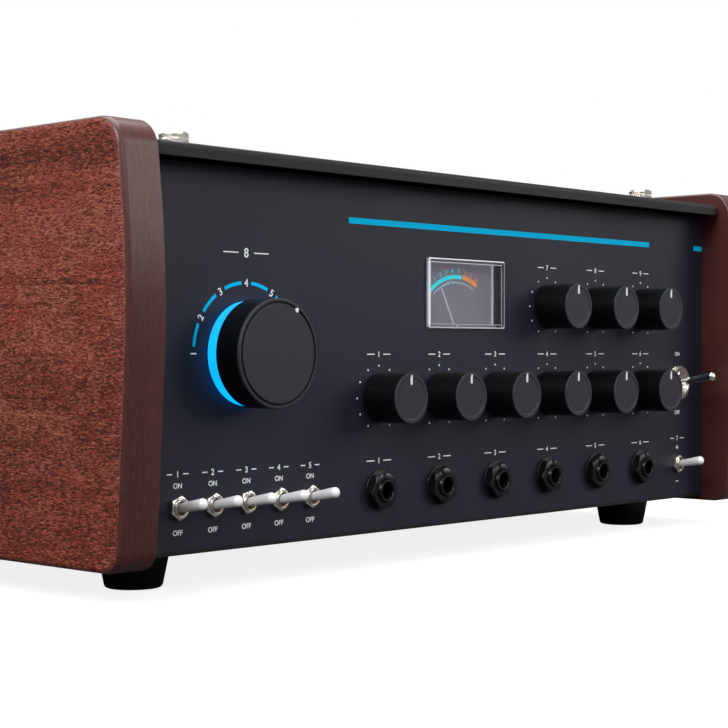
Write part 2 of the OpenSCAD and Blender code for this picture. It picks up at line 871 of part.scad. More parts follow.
// A bat lever: a ball at the pivot, and a stem that widens evenly to a blunt round tip
module bat(length, ball_r, stem_r, tip_r) {
    dome_r = tip_r * 0.8;
    rotate([-lever_tilt, 0, 0]) {
        sphere(r = ball_r);
        rotate_extrude($fn = 32) polygon(concat(
            [[0, 0], [stem_r, 0]],
            arc([tip_r - dome_r, length - dome_r], dome_r, 0, 90, 5),
            [[0, length]]
        ));
    }
}

// A toggle's bush, bored for the lever, on a body of w by h by depth
module toggle_body(bush_r, proud, pivot, ball_r, w, h, depth) {
    difference() {
        union() {
            ring(bush_r, 0, -panel_t, proud);
            block(w, h, -panel_t - depth, -panel_t);
            for (i = [-1:1]) {
                translate([0, i * h / 3, -panel_t - depth]) block(w / 6, w / 4, -tag_l, 1);
            }
        }
        ring(ball_r + ball_gap, 0, pivot - ball_r - 1, proud + 1);
        translate([0, 0, pivot])
            cylinder(r1 = ball_r + ball_gap, r2 = bush_r - mouth_wall, h = proud - pivot + 0.02);
    }
}

module toggle_lever(x) {
    color("silver") on_panel(x, bottom_row) translate([0, 0, toggle_pivot])
        bat(lever_l, toggle_ball_r, toggle_stem_r, toggle_tip_r);
}
module toggle_lever_1() { toggle_lever(toggle_xs[0]); }
module toggle_lever_2() { toggle_lever(toggle_xs[1]); }
module toggle_lever_3() { toggle_lever(toggle_xs[2]); }
module toggle_lever_4() { toggle_lever(toggle_xs[3]); }
module toggle_lever_5() { toggle_lever(toggle_xs[4]); }
module level_lever() { toggle_lever(side_x); }

module toggle_bodies() {
    color("steelblue") for (x = small_toggle_xs) {
        on_panel(x, bottom_row)
            toggle_body(toggle_bush_r, toggle_proud, toggle_pivot, toggle_ball_r,
                toggle_w, toggle_h, toggle_depth);
    }
}
module toggle_nuts() {
    color("gainsboro") for (x = small_toggle_xs) {
        on_panel(x, bottom_row) hex_nut(toggle_nut_af, toggle_bush_r + bush_fit / 2, 0, nut_t);
    }
}

module power_lever() {
    color("silver") on_panel(side_x, power_row) translate([0, 0, power_pivot])
        bat(power_lever_l, power_ball_r, power_stem_r, power_tip_r);
}
module power_switch_body() {
    color("gray") on_panel(side_x, power_row)
        toggle_body(power_bush_r, power_proud, power_pivot, power_ball_r,
            power_w, power_h, power_depth);
}
module power_switch_nut() {
    bore_r = power_bush_r + bush_fit / 2;
    color("gainsboro") on_panel(side_x, power_row) {
        ring(power_washer_r, bore_r, 0, power_washer_t);
        translate([0, 0, power_washer_t]) linear_extrude(height = power_knurl_t) difference() {
            polygon(knurl(power_knurl_r));
            circle(r = bore_r);
        }
    }
}

/* ---- Jacks ---- */

jack_body_w = 16;
jack_body_h = 20;
jack_depth = 26;
jack_bore_end = 22;
jack_lead = 0.5;
washer_t = 0.8;
jack_nut_t = 3.2;

module jack_bodies() {
    color([0.12, 0.12, 0.12]) for (i = knob_cols) {
        on_panel(col_x(i), bottom_row) jack_body();
    }
}
module jack_body() {
    bore_r = jack_bore_d / 2;
    difference() {
        union() {
            ring(jack_bush_d / 2, 0, -panel_t, jack_proud);
            block(jack_body_w, jack_body_h, -panel_t - jack_depth, -panel_t);
            translate([0, 0, -panel_t - jack_depth])
                block(jack_body_w * 0.75, jack_body_h * 0.15, -tag_l, 1);
        }
        ring(bore_r, 0, -jack_bore_end, jack_proud + 1);
        translate([0, 0, jack_proud - jack_lead])
            cylinder(r1 = bore_r, r2 = bore_r + jack_lead + 0.02, h = jack_lead + 0.02);
    }
}
module jack_nuts() {
    bore_r = jack_bush_d / 2 + bush_fit / 2;
    color([0.1, 0.1, 0.1]) for (i = knob_cols) {
        on_panel(col_x(i), bottom_row) {
            ring(washer_r, bore_r, 0, washer_t);
            hex_nut(jack_nut_af, bore_r, washer_t + press_gap, washer_t + jack_nut_t);
        }
    }
}

/* ---- Meter ---- */

window_t = 1.5;
dial_depth = 5.8;
dial_t = 0.8;
meter_case_depth = 24;
meter_case_rim = 3;
needle_tail = 5;
mech_drop = pivot_drop + needle_tail + 0.7;
needle_z = -5;
pivot_r = 0.8;
needle_w = 0.5;
needle_hub_r = 2.2;

// The window's walls reach back to the dial, but for the bottom one, where the needle comes up
module meter_window() {
    back = press_gap - dial_depth;
    color([0.8, 0.9, 1, 0.35]) on_panel(meter_x, meter_row) difference() {
        block(meter_w, meter_h, back, meter_proud);
        block(meter_w - 2 * window_t, meter_h - 2 * window_t, back - 1, meter_proud - window_t);
        translate([0, -meter_h / 2, 0])
            block(meter_w + 1, 2 * window_t + 0.2, back - 1, -panel_t - air);
    }
}

// Pocket behind the panel for the window's end, the dial plate and the needle's pivot
module meter_pocket(fit, z0, z1) {
    pocket_h = meter_h + mech_drop;
    translate([0, -mech_drop / 2, 0]) block(meter_w + 2 * fit, pocket_h + 2 * fit, z0, z1);
}
module meter_case() {
    color([0.1, 0.1, 0.1]) on_panel(meter_x, meter_row) difference() {
        meter_pocket(meter_case_rim, -panel_t - meter_case_depth, -panel_t);
        meter_pocket(meter_fit, -dial_depth - dial_t, 1);
    }
}
module meter_dial_plate() {
    color("lavender") on_panel(meter_x, meter_row) {
        meter_pocket(-0.1, -dial_depth - dial_t, -dial_depth);
        translate([0, -meter_h / 2 - pivot_drop, -dial_depth]) cylinder(r = pivot_r, h = 2.2, $fn = 24);
    }
}
// A hub on the pivot, with the needle above it and its balance weight below
module meter_needle() {
    pivot = [0, -meter_h / 2 - pivot_drop, needle_z];
    color("white") on_panel(meter_x, meter_row) translate(pivot) rotate([0, 0, needle_rest]) {
        difference() {
            union() {
                cylinder(r = needle_hub_r, h = 1, $fn = 32);
                translate([-needle_w / 2, 1, 0.35]) cube([needle_w, needle_l - 1, 0.3]);
                translate([-needle_w * 2, -needle_tail, 0.35]) cube([needle_w * 4, needle_tail - 1, 0.3]);
            }
            translate([0, 0, -1]) cylinder(r = pivot_r + shaft_gap, h = 3, $fn = 24);
        }
    }
}

/* ---- Electronics ---- */

transformer_from_side = 63;
transformer_from_rear = 72;
transformer_x = case_w / 2 - transformer_from_side;
transformer_y = rear_y - transformer_from_rear;
transformer_r = 42;
transformer_h = 40;
transformer_hole_r = 14;
transformer_round = 12;
pad_t = 2;
dish_t = 2;
bolt_r = 3;
bolt_head_r = 6;
bolt_head_h = 3;
board_t = 1.6;
board_lift = 8;
board_from_side = 18;
board_to_transformer = 23;
board_from_panel = 48;
board_from_ends = 82;
board_x0 = board_from_side - case_w / 2;
board_x1 = transformer_x - transformer_r - board_to_transformer;
board_y0 = panel_y + board_from_panel;
board_d = case_d - board_from_ends;
board_post_r = 3;
board_post_inset = 6;
can_r = 9;
can_h = 26;
can_pitch = 26;
can_inset = 40;
can_first = 30;
can_count = 4;
chip_w = 8;
chip_l = 20;
chip_h = 4;
chip_pitch = 26;
chip_inset = 24;
chip_rows = [22, 60];
chip_x0 = board_x0 + chip_inset;
chips = floor((board_x1 - can_inset - can_r - chip_w - chip_x0) / chip_pitch) + 1;
fin_pitch = 6;
fin_count = 7;
fin_l = 30;
fin_h = 30;
sink_y = 108;

// Circuit board on four posts, with filter cans, chips and the amplifier's heat sink
module main_board() {
    z0 = panel_z + board_lift;
    z1 = z0 + board_t - 0.2;
    color("darkgreen") {
        translate([board_x0, board_y0, z0]) cube([board_x1 - board_x0, board_d, board_t]);
        for (x = [board_x0 + board_post_inset, board_x1 - board_post_inset]) {
            for (y = [board_y0 + board_post_inset, board_y0 + board_d - board_post_inset]) {
                translate([x, y, panel_z]) cylinder(r = board_post_r, h = board_lift + 0.5);
            }
        }
        for (i = [0:can_count - 1]) {
            translate([board_x1 - can_inset, board_y0 + can_first + can_pitch * i, z1])
                cylinder(r = can_r, h = can_h);
        }
        for (i = [0:chips - 1]) {
            for (row = chip_rows) {
                translate([chip_x0 + chip_pitch * i, board_y0 + row, z1]) cube([chip_w, chip_l, chip_h]);
            }
        }
        translate([chip_x0, board_y0 + sink_y, z1]) heat_sink();
    }
}
module heat_sink() {
    fin_t = 2;
    for (i = [0:fin_count - 1]) {
        translate([fin_pitch * i, 0, 0]) cube([fin_t, fin_l, fin_h]);
    }
    translate([0, fin_l / 2 - fin_t, 0]) cube([fin_pitch * (fin_count - 1) + fin_t, fin_t * 1.5, fin_h]);
}

// A toroidal transformer on a pad, held by a dished washer and a bolt
module transformer() {
    z0 = panel_z + pad_t;
    z1 = z0 + transformer_h;
    side_r = transformer_r - transformer_round;
    translate([transformer_x, transformer_y, 0]) {
        color("peru") rotate_extrude($fn = 96) polygon(concat(
            [[transformer_hole_r, z0]],
            arc([side_r, z0 + transformer_round], transformer_round, -90, 0, 6),
            arc([side_r, z1 - transformer_round], transformer_round, 0, 90, 6),
            [[transformer_hole_r, z1]]
        ));
        color("black") ring(transformer_r - 2 * pad_t, bolt_r + bush_fit, panel_z, z0);
        color("silver") {
            ring(transformer_r - transformer_round - 2 * dish_t, bolt_r + bush_fit, z1, z1 + dish_t);
            ring(bolt_r, 0, base_z - bolt_head_h, z1 + dish_t + bolt_head_h + 1);
            translate([0, 0, z1 + dish_t]) cylinder(r = bolt_head_r - 0.5, h = bolt_head_h, $fn = 6);
            translate([0, 0, base_z - bolt_head_h]) cylinder(r = bolt_head_r, h = bolt_head_h, $fn = 6);
        }
    }
}

inlet_depth = 20;
inlet_flange_t = 3;
inlet_ear = 20;
inlet_mouth_w = 24;
inlet_mouth_h = 16.5;
inlet_mouth_depth = 16;
inlet_pin_x = 7;
inlet_pin_w = 2;
inlet_pin_h = 4;
inlet_cut = 4;

// Outline of the plug's mouth, with its two cut corners
module inlet_mouth() {
    w = inlet_mouth_w / 2;
    h = inlet_mouth_h / 2;
    c = inlet_cut;
    polygon([[-w, -h], [w, -h], [w, h - c], [w - c, h], [-w + c, h], [-w, h - c]]);
}
module mains_inlet() {
    floor_z = inlet_flange_t - inlet_mouth_depth;
    color([0.1, 0.1, 0.1]) on_rear(inlet_x, inlet_row) {
        difference() {
            union() {
                block(inlet_w, inlet_h, -inlet_depth, 0.5);
                round_block(2 * inlet_ear + 10, inlet_h + 3, 4, 0, inlet_flange_t);
            }
            translate([0, 0, floor_z]) linear_extrude(height = inlet_mouth_depth + 1) inlet_mouth();
            for (x = [-inlet_ear, inlet_ear]) {
                translate([x, 0, -1]) cylinder(r = screw_r + 0.1, h = inlet_flange_t + 2);
            }
        }
        for (p = [[-inlet_pin_x, -inlet_pin_h / 2], [inlet_pin_x, -inlet_pin_h / 2], [0, 2.2]]) {
            translate([p[0], p[1], 0])
                block(inlet_pin_w, inlet_pin_h, floor_z - 0.5, inlet_flange_t - 2);
        }
    }
}

/* ---- Tape ---- */

tape_y = panel_y + tape_setback;
tape_z = deck_top + tape_lift;
corner_r = guide_d / 2 + tape_gap + tape_t / 2;
fold_pitch = (tape_right_x - tape_left_x) / (fold_runs - 1);
tray_y0 = tape_y + tray_setback;
tray_y1 = rear_y - 14;
tray_x0 = tape_left_x - 10;
tray_x1 = tape_right_x + 10;
tray_z = tape_z - tape_gap - tray_t;
tray_top = tape_z + tape_w + 3;
slot_w = 5;
fold_margin = fold_pitch / 2 + tray_t + 4;

// Height of each turn of the folded tape, uneven as loose tape lies
function fold_ease(k) = fold_slack * (0.5 + 0.5 * sin(k * 77));
function turn_y(k) = (k % 2 == 0)
    ? tray_y1 - fold_margin - fold_ease(k)
    : tray_y0 + fold_margin + fold_ease(k);
tape_path = concat(
    [for (k = [0:fold_runs - 2])
        each arc([tape_right_x - (k + 0.5) * fold_pitch, turn_y(k)], fold_pitch / 2,
            0, (k % 2 == 0) ? 180 : -180, 8)],
    arc([tape_left_x + corner_r, tape_y + corner_r], corner_r, 180, 270, 6),
    arc([tape_right_x - corner_r, tape_y + corner_r], corner_r, 270, 360, 6)
);

// The path's points moved sideways by offset_d
function beside(points, offset_d) = [
    for (i = [0:len(points) - 1])
        let (
            n = len(points),
            d = points[(i + 1) % n] - points[(i + n - 1) % n]
        )
            points[i] + offset_d * [-d[1], d[0]] / norm(d)
];

module tape_loop() {
    n = len(tape_path);
    color([0.3, 0.16, 0.1]) translate([0, 0, tape_z]) linear_extrude(height = tape_w) polygon(
        points = concat(beside(tape_path, tape_t / 2), beside(tape_path, -tape_t / 2)),
        paths = [[for (i = [0:n - 1]) i], [for (i = [0:n - 1]) n + i]]
    );
}

// The tray stands on four bosses, with a slot for each end of the folds
module tape_tray() {
    w = tray_x1 - tray_x0;
    d = tray_y1 - tray_y0;
    color("darkslategray") difference() {
        union() {
            translate([tray_x0, tray_y0, tray_z]) cube([w, d, tray_top - tray_z]);
            for (x = [tray_x0 + 12, tray_x1 - 12]) {
                for (y = [tray_y0 + 12, tray_y1 - 12]) {
                    translate([x, y, deck_top]) cylinder(r = 5, h = tray_z - deck_top + 0.5);
                }
            }
        }
        translate([tray_x0 + tray_t, tray_y0 + tray_t, tray_z + tray_t])
            cube([w - 2 * tray_t, d - 2 * tray_t, tray_top]);
        for (x = [tape_left_x, tape_right_x]) {
            translate([x - slot_w / 2, tray_y0 - 1, tray_z + tray_t]) cube([slot_w, tray_t + 2, tray_top]);
        }
    }
}
cover_t = 2;
module tape_cover() {
    color([0.8, 0.85, 0.9, 0.4]) difference() {
        translate([(tray_x0 + tray_x1) / 2, (tray_y0 + tray_y1) / 2, 0])
            round_block(tray_x1 - tray_x0, tray_y1 - tray_y0, 4, tray_top, tray_top + cover_t);
        translate([(tray_x0 + tray_x1) / 2, tray_y0, tray_top - 1]) cylinder(r = 11, h = cover_t + 2);
    }
}

// Corner posts that turn the tape, each with a foot and a cap that keep it at its height
module tape_guides() {
    for (x = [tape_left_x + corner_r, tape_right_x - corner_r]) {
        color("silver") on_deck(x, tape_y + corner_r) rotate_extrude() polygon([
            [0, 0],
            [guide_d / 2 + 2, 0],
            [guide_d / 2 + 2, tape_lift - tape_gap - 0.6],
            [guide_d / 2 + 1.4, tape_lift - tape_gap],
            [guide_d / 2, tape_lift - tape_gap],
            [guide_d / 2, tape_lift + tape_w + tape_gap],
            [guide_d / 2 + 1.4, tape_lift + tape_w + tape_gap],
            [guide_d / 2 + 1.4, tape_lift + tape_w + 1.6],
            [1.5, tape_lift + tape_w + 2.6],
            [0, tape_lift + tape_w + 2.6],
        ]);
    }
}

/* ---- Heads ---- */

head_xs = [-112, -84, -46, -14, 18];
head_w = 14;
head_d = 16;
head_h = 12;
head_face_r = 10;
head_face_y = tape_y + tape_t / 2 + tape_gap;
block_h = tape_lift + tape_w / 2 - head_h / 2;
block_x0 = head_xs[0] - head_w;
block_x1 = head_xs[4] + head_w;
block_y0 = head_face_y + 3;
block_d = 30;

module head_block() {
    color("lightgray") difference() {
        translate([block_x0, block_y0, deck_top]) cube([block_x1 - block_x0, block_d, block_h]);
        for (i = [0:3]) {
            translate([(head_xs[i] + head_xs[i + 1]) / 2, block_y0 + block_d - 7, deck_top - 1])
                cylinder(r = 2, h = block_h + 2);
        }
    }
}
module tape_heads() {
    color("gainsboro") for (x = head_xs) {
        translate([x, head_face_y, deck_top + block_h]) intersection() {
            translate([-head_w / 2, 0, 0]) cube([head_w, head_d, head_h]);
            translate([0, head_face_r, 0]) union() {
                cylinder(r = head_face_r, h = head_h, $fn = 64);
                translate([-head_w / 2, 0, 0]) cube([head_w, head_d, head_h]);
            }
        }
    }
}

/* ---- Drive ---- */

capstan_r = capstan_d / 2;
capstan_y = tape_y + tape_t / 2 + tape_gap + capstan_r;
bearing_r = 8;
bearing_flange_r = 12;
bearing_flange_h = 2;
collar_r = 5;
collar_h = 1.6;
capstan_rise = tape_lift + tape_w + 3;
flywheel_top = deck_top - flywheel_drop;
belt_z = flywheel_top - flywheel_h / 2;
belt_w = 5;
motor_x = capstan_x - motor_reach;
motor_y = capstan_y + 8;
motor_flange_gap = 4;
motor_top = flywheel_top - flywheel_h - motor_flange_gap;
motor_shaft_r = 1.5;
motor_post_r = 3;

module capstan_bearing() {
    bore_r = capstan_r + shaft_gap;
    color("goldenrod") on_deck(capstan_x, capstan_y) {
        difference() {
            union() {
                ring(bearing_r, 0, -flywheel_drop + air, 0);
                ring(bearing_flange_r, 0, -deck_t - bearing_flange_h, -deck_t);
            }
            translate([0, 0, -flywheel_drop - 1]) cylinder(r = bore_r, h = flywheel_drop + 2);
        }
    }
}

// Flywheel, capstan shaft and the collar that hangs them on the bearing
module capstan_flywheel() {
    r = flywheel_d / 2;
    web = flywheel_h * 0.4;
    color("gray") translate([capstan_x, capstan_y, 0]) {
        translate([0, 0, flywheel_top - flywheel_h]) rotate_extrude($fn = 96) polygon([
            [0, 0],
            [9, 0],
            [9, 3],
            [r - 10, 3],
            [r - 10, 0],
            [r, 0],
            [r, flywheel_h],
            [r - 10, flywheel_h],
            [r - 10, 3 + web],
            [9, 3 + web],
            [9, flywheel_h],
            [0, flywheel_h],
        ]);
        ring(capstan_r, 0, flywheel_top - 0.5, deck_top + capstan_rise);
        translate([0, 0, deck_top + air / 2]) cylinder(r = collar_r, h = collar_h);
    }
}

// Outline of a loop round the flywheel and the pulley, grow outside them
belt_turn = acos((flywheel_d - pulley_d) / 2 / norm([motor_reach, motor_y - capstan_y]));
belt_dir = atan2(motor_y - capstan_y, motor_x - capstan_x);
function belt_outline(grow) = concat(
    arc([capstan_x, capstan_y], flywheel_d / 2 + grow,
        belt_dir + belt_turn, belt_dir + 360 - belt_turn, 32),
    arc([motor_x, motor_y], pulley_d / 2 + grow,
        belt_dir - belt_turn, belt_dir + belt_turn, 12)
);
belt_gap = 0.2;
module drive_belt() {
    color([0.12, 0.12, 0.12]) translate([0, 0, belt_z - belt_w / 2])
        linear_extrude(height = belt_w) difference() {
            polygon(belt_outline(belt_gap + belt_t));
            polygon(belt_outline(belt_gap));
        }
}

// Motor can hung from the deck by three posts
module motor() {
    color("darkslategray") translate([motor_x, motor_y, 0]) difference() {
        union() {
            translate([0, 0, motor_top - motor_h]) cylinder(r = motor_d / 2, h = motor_h);
            translate([0, 0, motor_top - 3]) cylinder(r = motor_d / 2 + 4, h = 3);
            for (i = [0:2]) {
                rotate([0, 0, belt_dir + 120 * i]) translate([motor_d / 2, 0, motor_top - 1])
                    cylinder(r = motor_post_r, h = deck_z - motor_top + 1);
            }
        }
        translate([0, 0, motor_top - 20]) cylinder(r = motor_shaft_r + shaft_gap, h = 21);
    }
}
module motor_pulley() {
    r = pulley_d / 2;
    z0 = belt_z - belt_w / 2 - 2;
    color("silver") translate([motor_x, motor_y, 0]) {
        translate([0, 0, z0]) rotate_extrude() polygon([
            [0, 0],
            [r + 2.2, 0],
            [r + 2.2, 1],
            [r, 1.5],
            [r, belt_w + 2.5],
            [r + 2.2, belt_w + 3],
            [r + 2.2, belt_w + 4],
            [0, belt_w + 4],
        ]);
        translate([0, 0, motor_top - 18]) cylinder(r = motor_shaft_r, h = belt_z - motor_top + 18);
    }
}

/* ---- Pinch arm ---- */

roller_r = roller_d / 2;
roller_y = tape_y - tape_t / 2 - tape_gap - roller_r;
roller_z0 = 4.2;
roller_h = tape_w + 3;
arm_reach = 34;
arm_set_back = 22;
arm_x = capstan_x + arm_reach;
arm_y = tape_y - arm_set_back;
arm_z0 = 0.4;
arm_t = 3;
arm_pin_r = 3;
roller_pin_r = 1.6;
arm_hub_r = 6;
arm_w = 7;
arm_hub_h = 8;
arm_len = norm([capstan_x - arm_x, roller_y - arm_y]);
arm_dir = atan2(roller_y - arm_y, capstan_x - arm_x);
spring_turns = 4;
spring_wire = 0.8;
spring_r = arm_pin_r + 1.4;
spring_pitch = 1.2;

module pinch_arm() {
    color("darkgray") on_deck(arm_x, arm_y) rotate([0, 0, arm_dir]) {
        difference() {
            union() {
                translate([0, 0, arm_z0]) cylinder(r = arm_hub_r, h = arm_hub_h);
                translate([0, -arm_w / 2, arm_z0]) cube([arm_len, arm_w, arm_t]);
                translate([arm_len, 0, arm_z0]) cylinder(r = roller_r - 2, h = arm_t);
            }
            ring(arm_pin_r + shaft_gap, 0, -1, arm_hub_h + 2);
        }
        translate([arm_len, 0, 0]) ring(roller_pin_r, 0, arm_z0 + 0.5, roller_z0 + roller_h + 1.2);
    }
}
module pinch_roller() {
    color([0.15, 0.15, 0.15]) on_deck(capstan_x, roller_y)
        translate([0, 0, roller_z0]) rotate_extrude() polygon([
            [roller_pin_r + shaft_gap, 0],
            [4, 0],
            [4, 0.4],
            [roller_r - 0.5, 0.4],
            [roller_r, 0.9],
            [roller_r, roller_h - 0.9],
            [roller_r - 0.5, roller_h - 0.4],
            [4, roller_h - 0.4],
            [4, roller_h],
            [roller_pin_r + shaft_gap, roller_h],
        ]);
}

// The arm's fixed pin and the torsion spring wound round it above the arm's hub
module pinch_spring() {
    coil_z = arm_z0 + arm_hub_h + 0.3 + spring_wire / 2;
    steps = 12;
    sides = 6;
    pin_h = arm_hub_h + spring_turns * spring_pitch + 3;
    color("silver") on_deck(arm_x, arm_y) {
        translate([0, 0, -deck_t]) cylinder(r = arm_pin_r, h = deck_t + pin_h);
        translate([0, 0, pin_h - 0.6]) cylinder(r = arm_pin_r + 2.2, h = 1);
        loft([
            for (i = [0:spring_turns * steps])
                let (a = 360 * i / steps, z = coil_z + spring_pitch * i / steps)
                    [for (j = [0:sides - 1])
                        let (b = 360 * j / sides, rr = spring_r + spring_wire / 2 * cos(b))
                            [rr * cos(a), rr * sin(a), z + spring_wire / 2 * sin(b)]]
        ]);
    }
}

left_cheek();
right_cheek();
base_tray();
front_panel();
rear_panel();
deck_plate();
lid();
lid_screw_left();
lid_screw_right();
feet();
case_screws();
knob_1();
knob_2();
knob_3();
knob_4();
knob_5();
knob_6();
tone_knob_1();
tone_knob_2();
tone_knob_3();
pot_bodies();
pot_nuts();
mode_knob();
mode_light_ring();
mode_switch_body();
toggle_lever_1();
toggle_lever_2();
toggle_lever_3();
toggle_lever_4();
toggle_lever_5();
level_lever();
toggle_bodies();
toggle_nuts();
power_lever();
power_switch_body();
power_switch_nut();
jack_bodies();
jack_nuts();
meter_case();
meter_window();
meter_dial_plate();
meter_needle();
main_board();
transformer();
mains_inlet();
tape_tray();
tape_cover();
tape_loop();
tape_guides();
head_block();
tape_heads();
capstan_bearing();
capstan_flywheel();
drive_belt();
motor();
motor_pulley();
pinch_arm();
pinch_roller();
pinch_spring();
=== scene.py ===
# %% [markdown]
# # Dressing a tape echo unit
# The imported model gives this object's pieces their sizes, places and joints. This lesson gives
# them their looks: lacquered wood, powder coat, turned knobs, plated switches and a dial whose print
# and needle glow with painted light.
# Each new piece is a surface worked out with numpy. It stands exactly where its node stood, and it
# rides on the same body, so the object still comes apart and moves.

# %% Open the frame
import bmesh
import bpy
import numpy as np
from math import pi, radians
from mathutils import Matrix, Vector
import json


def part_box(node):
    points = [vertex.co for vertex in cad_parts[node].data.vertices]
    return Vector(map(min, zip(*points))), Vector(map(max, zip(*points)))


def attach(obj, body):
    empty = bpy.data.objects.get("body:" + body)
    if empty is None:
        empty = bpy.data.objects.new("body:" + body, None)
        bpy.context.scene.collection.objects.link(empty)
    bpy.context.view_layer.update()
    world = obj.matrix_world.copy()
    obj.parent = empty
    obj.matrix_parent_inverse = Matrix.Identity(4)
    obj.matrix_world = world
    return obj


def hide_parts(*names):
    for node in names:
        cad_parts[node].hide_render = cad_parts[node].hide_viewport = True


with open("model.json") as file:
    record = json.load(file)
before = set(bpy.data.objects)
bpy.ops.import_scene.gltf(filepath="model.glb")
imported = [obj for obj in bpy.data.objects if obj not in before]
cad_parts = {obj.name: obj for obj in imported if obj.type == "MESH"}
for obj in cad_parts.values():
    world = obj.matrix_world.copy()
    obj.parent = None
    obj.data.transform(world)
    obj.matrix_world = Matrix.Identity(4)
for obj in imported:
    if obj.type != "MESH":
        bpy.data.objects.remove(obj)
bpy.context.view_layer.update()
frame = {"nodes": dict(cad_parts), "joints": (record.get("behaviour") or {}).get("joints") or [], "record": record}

# %% [markdown]
# ## Places
# All lengths below are millimetres, because that is how the real parts are drawn. The joints give
# every shaft's place, the mounts give the jacks, and the boxes of the nodes give the rest. Nothing is
# placed by eye, so a knob can never drift off its shaft.

# %% Read the places that the frame gives
MM = 0.001


def corners(node):
    """Lowest and highest corner of a node at rest, in millimetres."""
    low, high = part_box(node)
    return np.array(low) / MM, np.array(high) / MM


pins = {j["name"]: np.array(j["pos_m"]) / MM for j in frame["joints"] if j["type"] == "hinge"}
jacks = [np.array(m["pos_m"]) / MM for m in frame["record"]["mounts"] if m["kind"] == "bore"]
panel_low, panel_high = corners("front_panel")
tray_low, tray_high = corners("base_tray")
face_y = panel_low[1]
back_y = tray_high[1]


def panel_reach(node):
    """How far a node reaches behind and in front of the panel's face."""
    low, high = corners(node)
    return face_y - high[1], face_y - low[1]


print("panel", np.round(panel_high - panel_low, 1), "jacks", len(jacks), "shafts", len(pins))

# %% [markdown]
# ## Camera
# The photograph was taken from the left front, level with the middle of the panel and less than a
# metre away, which is why the near cheek looks so tall. The camera comes first, since it decides
# which surfaces need the most care.

# %% Stand the camera
PHOTO_PIXELS = 728
FOCAL_PIXELS = 1722.2
SENSOR = 36.0  # millimetres across the film
EYE = np.array([-576.2, -580.1, 87.7])
HEADING = 47.55  # degrees from straight ahead towards +X
DIP = 0.416  # degrees below level

lens = bpy.data.cameras.new("camera")
lens.sensor_width = SENSOR
lens.lens = SENSOR * FOCAL_PIXELS / PHOTO_PIXELS
lens.clip_end = 50  # metres
camera = bpy.data.objects.new("camera", lens)
camera.location = EYE * MM
camera.rotation_euler = (radians(90 - DIP), 0, radians(-HEADING))
scene = bpy.context.scene
scene.collection.objects.link(camera)
scene.camera = camera
print("lens", round(lens.lens, 1), "mm")

# %% [markdown]
# ## Surfaces from rings
# Nearly every part of this object is turned, pressed or sawn, so nearly every part can be described as
# a stack of rings: a profile turned about an axis, or an outline carried through a thickness. `skin`
# joins neighbouring rings with four-sided faces. A ring that shrinks to one point is a pole and gets
# triangles, and an open end gets a cap, so no surface is left with a hole.

# %% Join rings of points into a surface


def skin(rings, wrap=False, caps=False):
    """A shape from rings[k, n, 3]: point k, n joins k, n+1 and k+1, n.
    wrap joins the last ring to the first. caps closes both ends with one flat face.
    The UV map runs 0..1 round a ring and in millimetres from ring to ring."""
    rings = np.asarray(rings, float)
    count, size = rings.shape[:2]
    number = np.arange(count * size).reshape(count, size)
    pole = np.ptp(rings, axis=1).max(axis=1) < 1e-6
    number[pole] = number[pole, :1]
    path = np.concatenate([rings, rings[:1]]) if wrap else rings
    if wrap:
        number = np.vstack([number, number[:1]])
        pole = np.append(pole, pole[0])
    step = np.linalg.norm(np.diff(path, axis=0), axis=2).mean(axis=1)
    v = np.concatenate([[0], np.cumsum(step)])
    u = np.linspace(0, 1, size + 1)
    right = np.roll(number, -1, axis=1)
    quads = np.stack([number[:-1], right[:-1], right[1:], number[1:]], -1).reshape(-1, 4)
    spans = len(v) - 1
    us = np.tile(np.stack([u[:-1], u[1:], u[1:], u[:-1]], -1), (spans, 1))
    vs = np.repeat(np.stack([v[:-1], v[:-1], v[1:], v[1:]], -1), size, axis=0)
    uv = np.stack([us, vs], -1)
    low = np.repeat(pole[:-1], size)
    high = np.repeat(pole[1:], size)
    whole = ~low & ~high
    faces = [(quads[whole], uv[whole])]
    faces.append((quads[low & ~high][:, [0, 2, 3]], uv[low & ~high][:, [0, 2, 3]]))
    faces.append((quads[high & ~low][:, [0, 1, 2]], uv[high & ~low][:, [0, 1, 2]]))
    if caps:
        flat = np.zeros((1, size, 2))
        faces += [(number[:1, ::-1], flat), (number[-1:], flat)]
    return rings.reshape(-1, 3), [f for f in faces if len(f[0])]


def circle(n):
    """n angles, evenly round a full turn."""
    return np.arange(n) * 2 * pi / n


def turned(profile, n=64, ripple=None, wrap=False):
    """A profile of (radius, height) turned about Z: x = r cos a, y = r sin a.
    ripple(a, r, z) may change the radius, which makes knurls, flutes and threads."""
    r, z = np.asarray(profile, float).T[:, :, None]
    a = circle(n)[None]
    if ripple is not None:
        r = ripple(a, r, z)
    return skin(np.stack(np.broadcast_arrays(r * np.cos(a), r * np.sin(a), z), -1), wrap=wrap)


ARC_SHARE = 0.42  # the most of a side that one corner's arc may take
HOLD_SHARE = 0.08  # how far past its arc a holding point stands, as a share of the cut


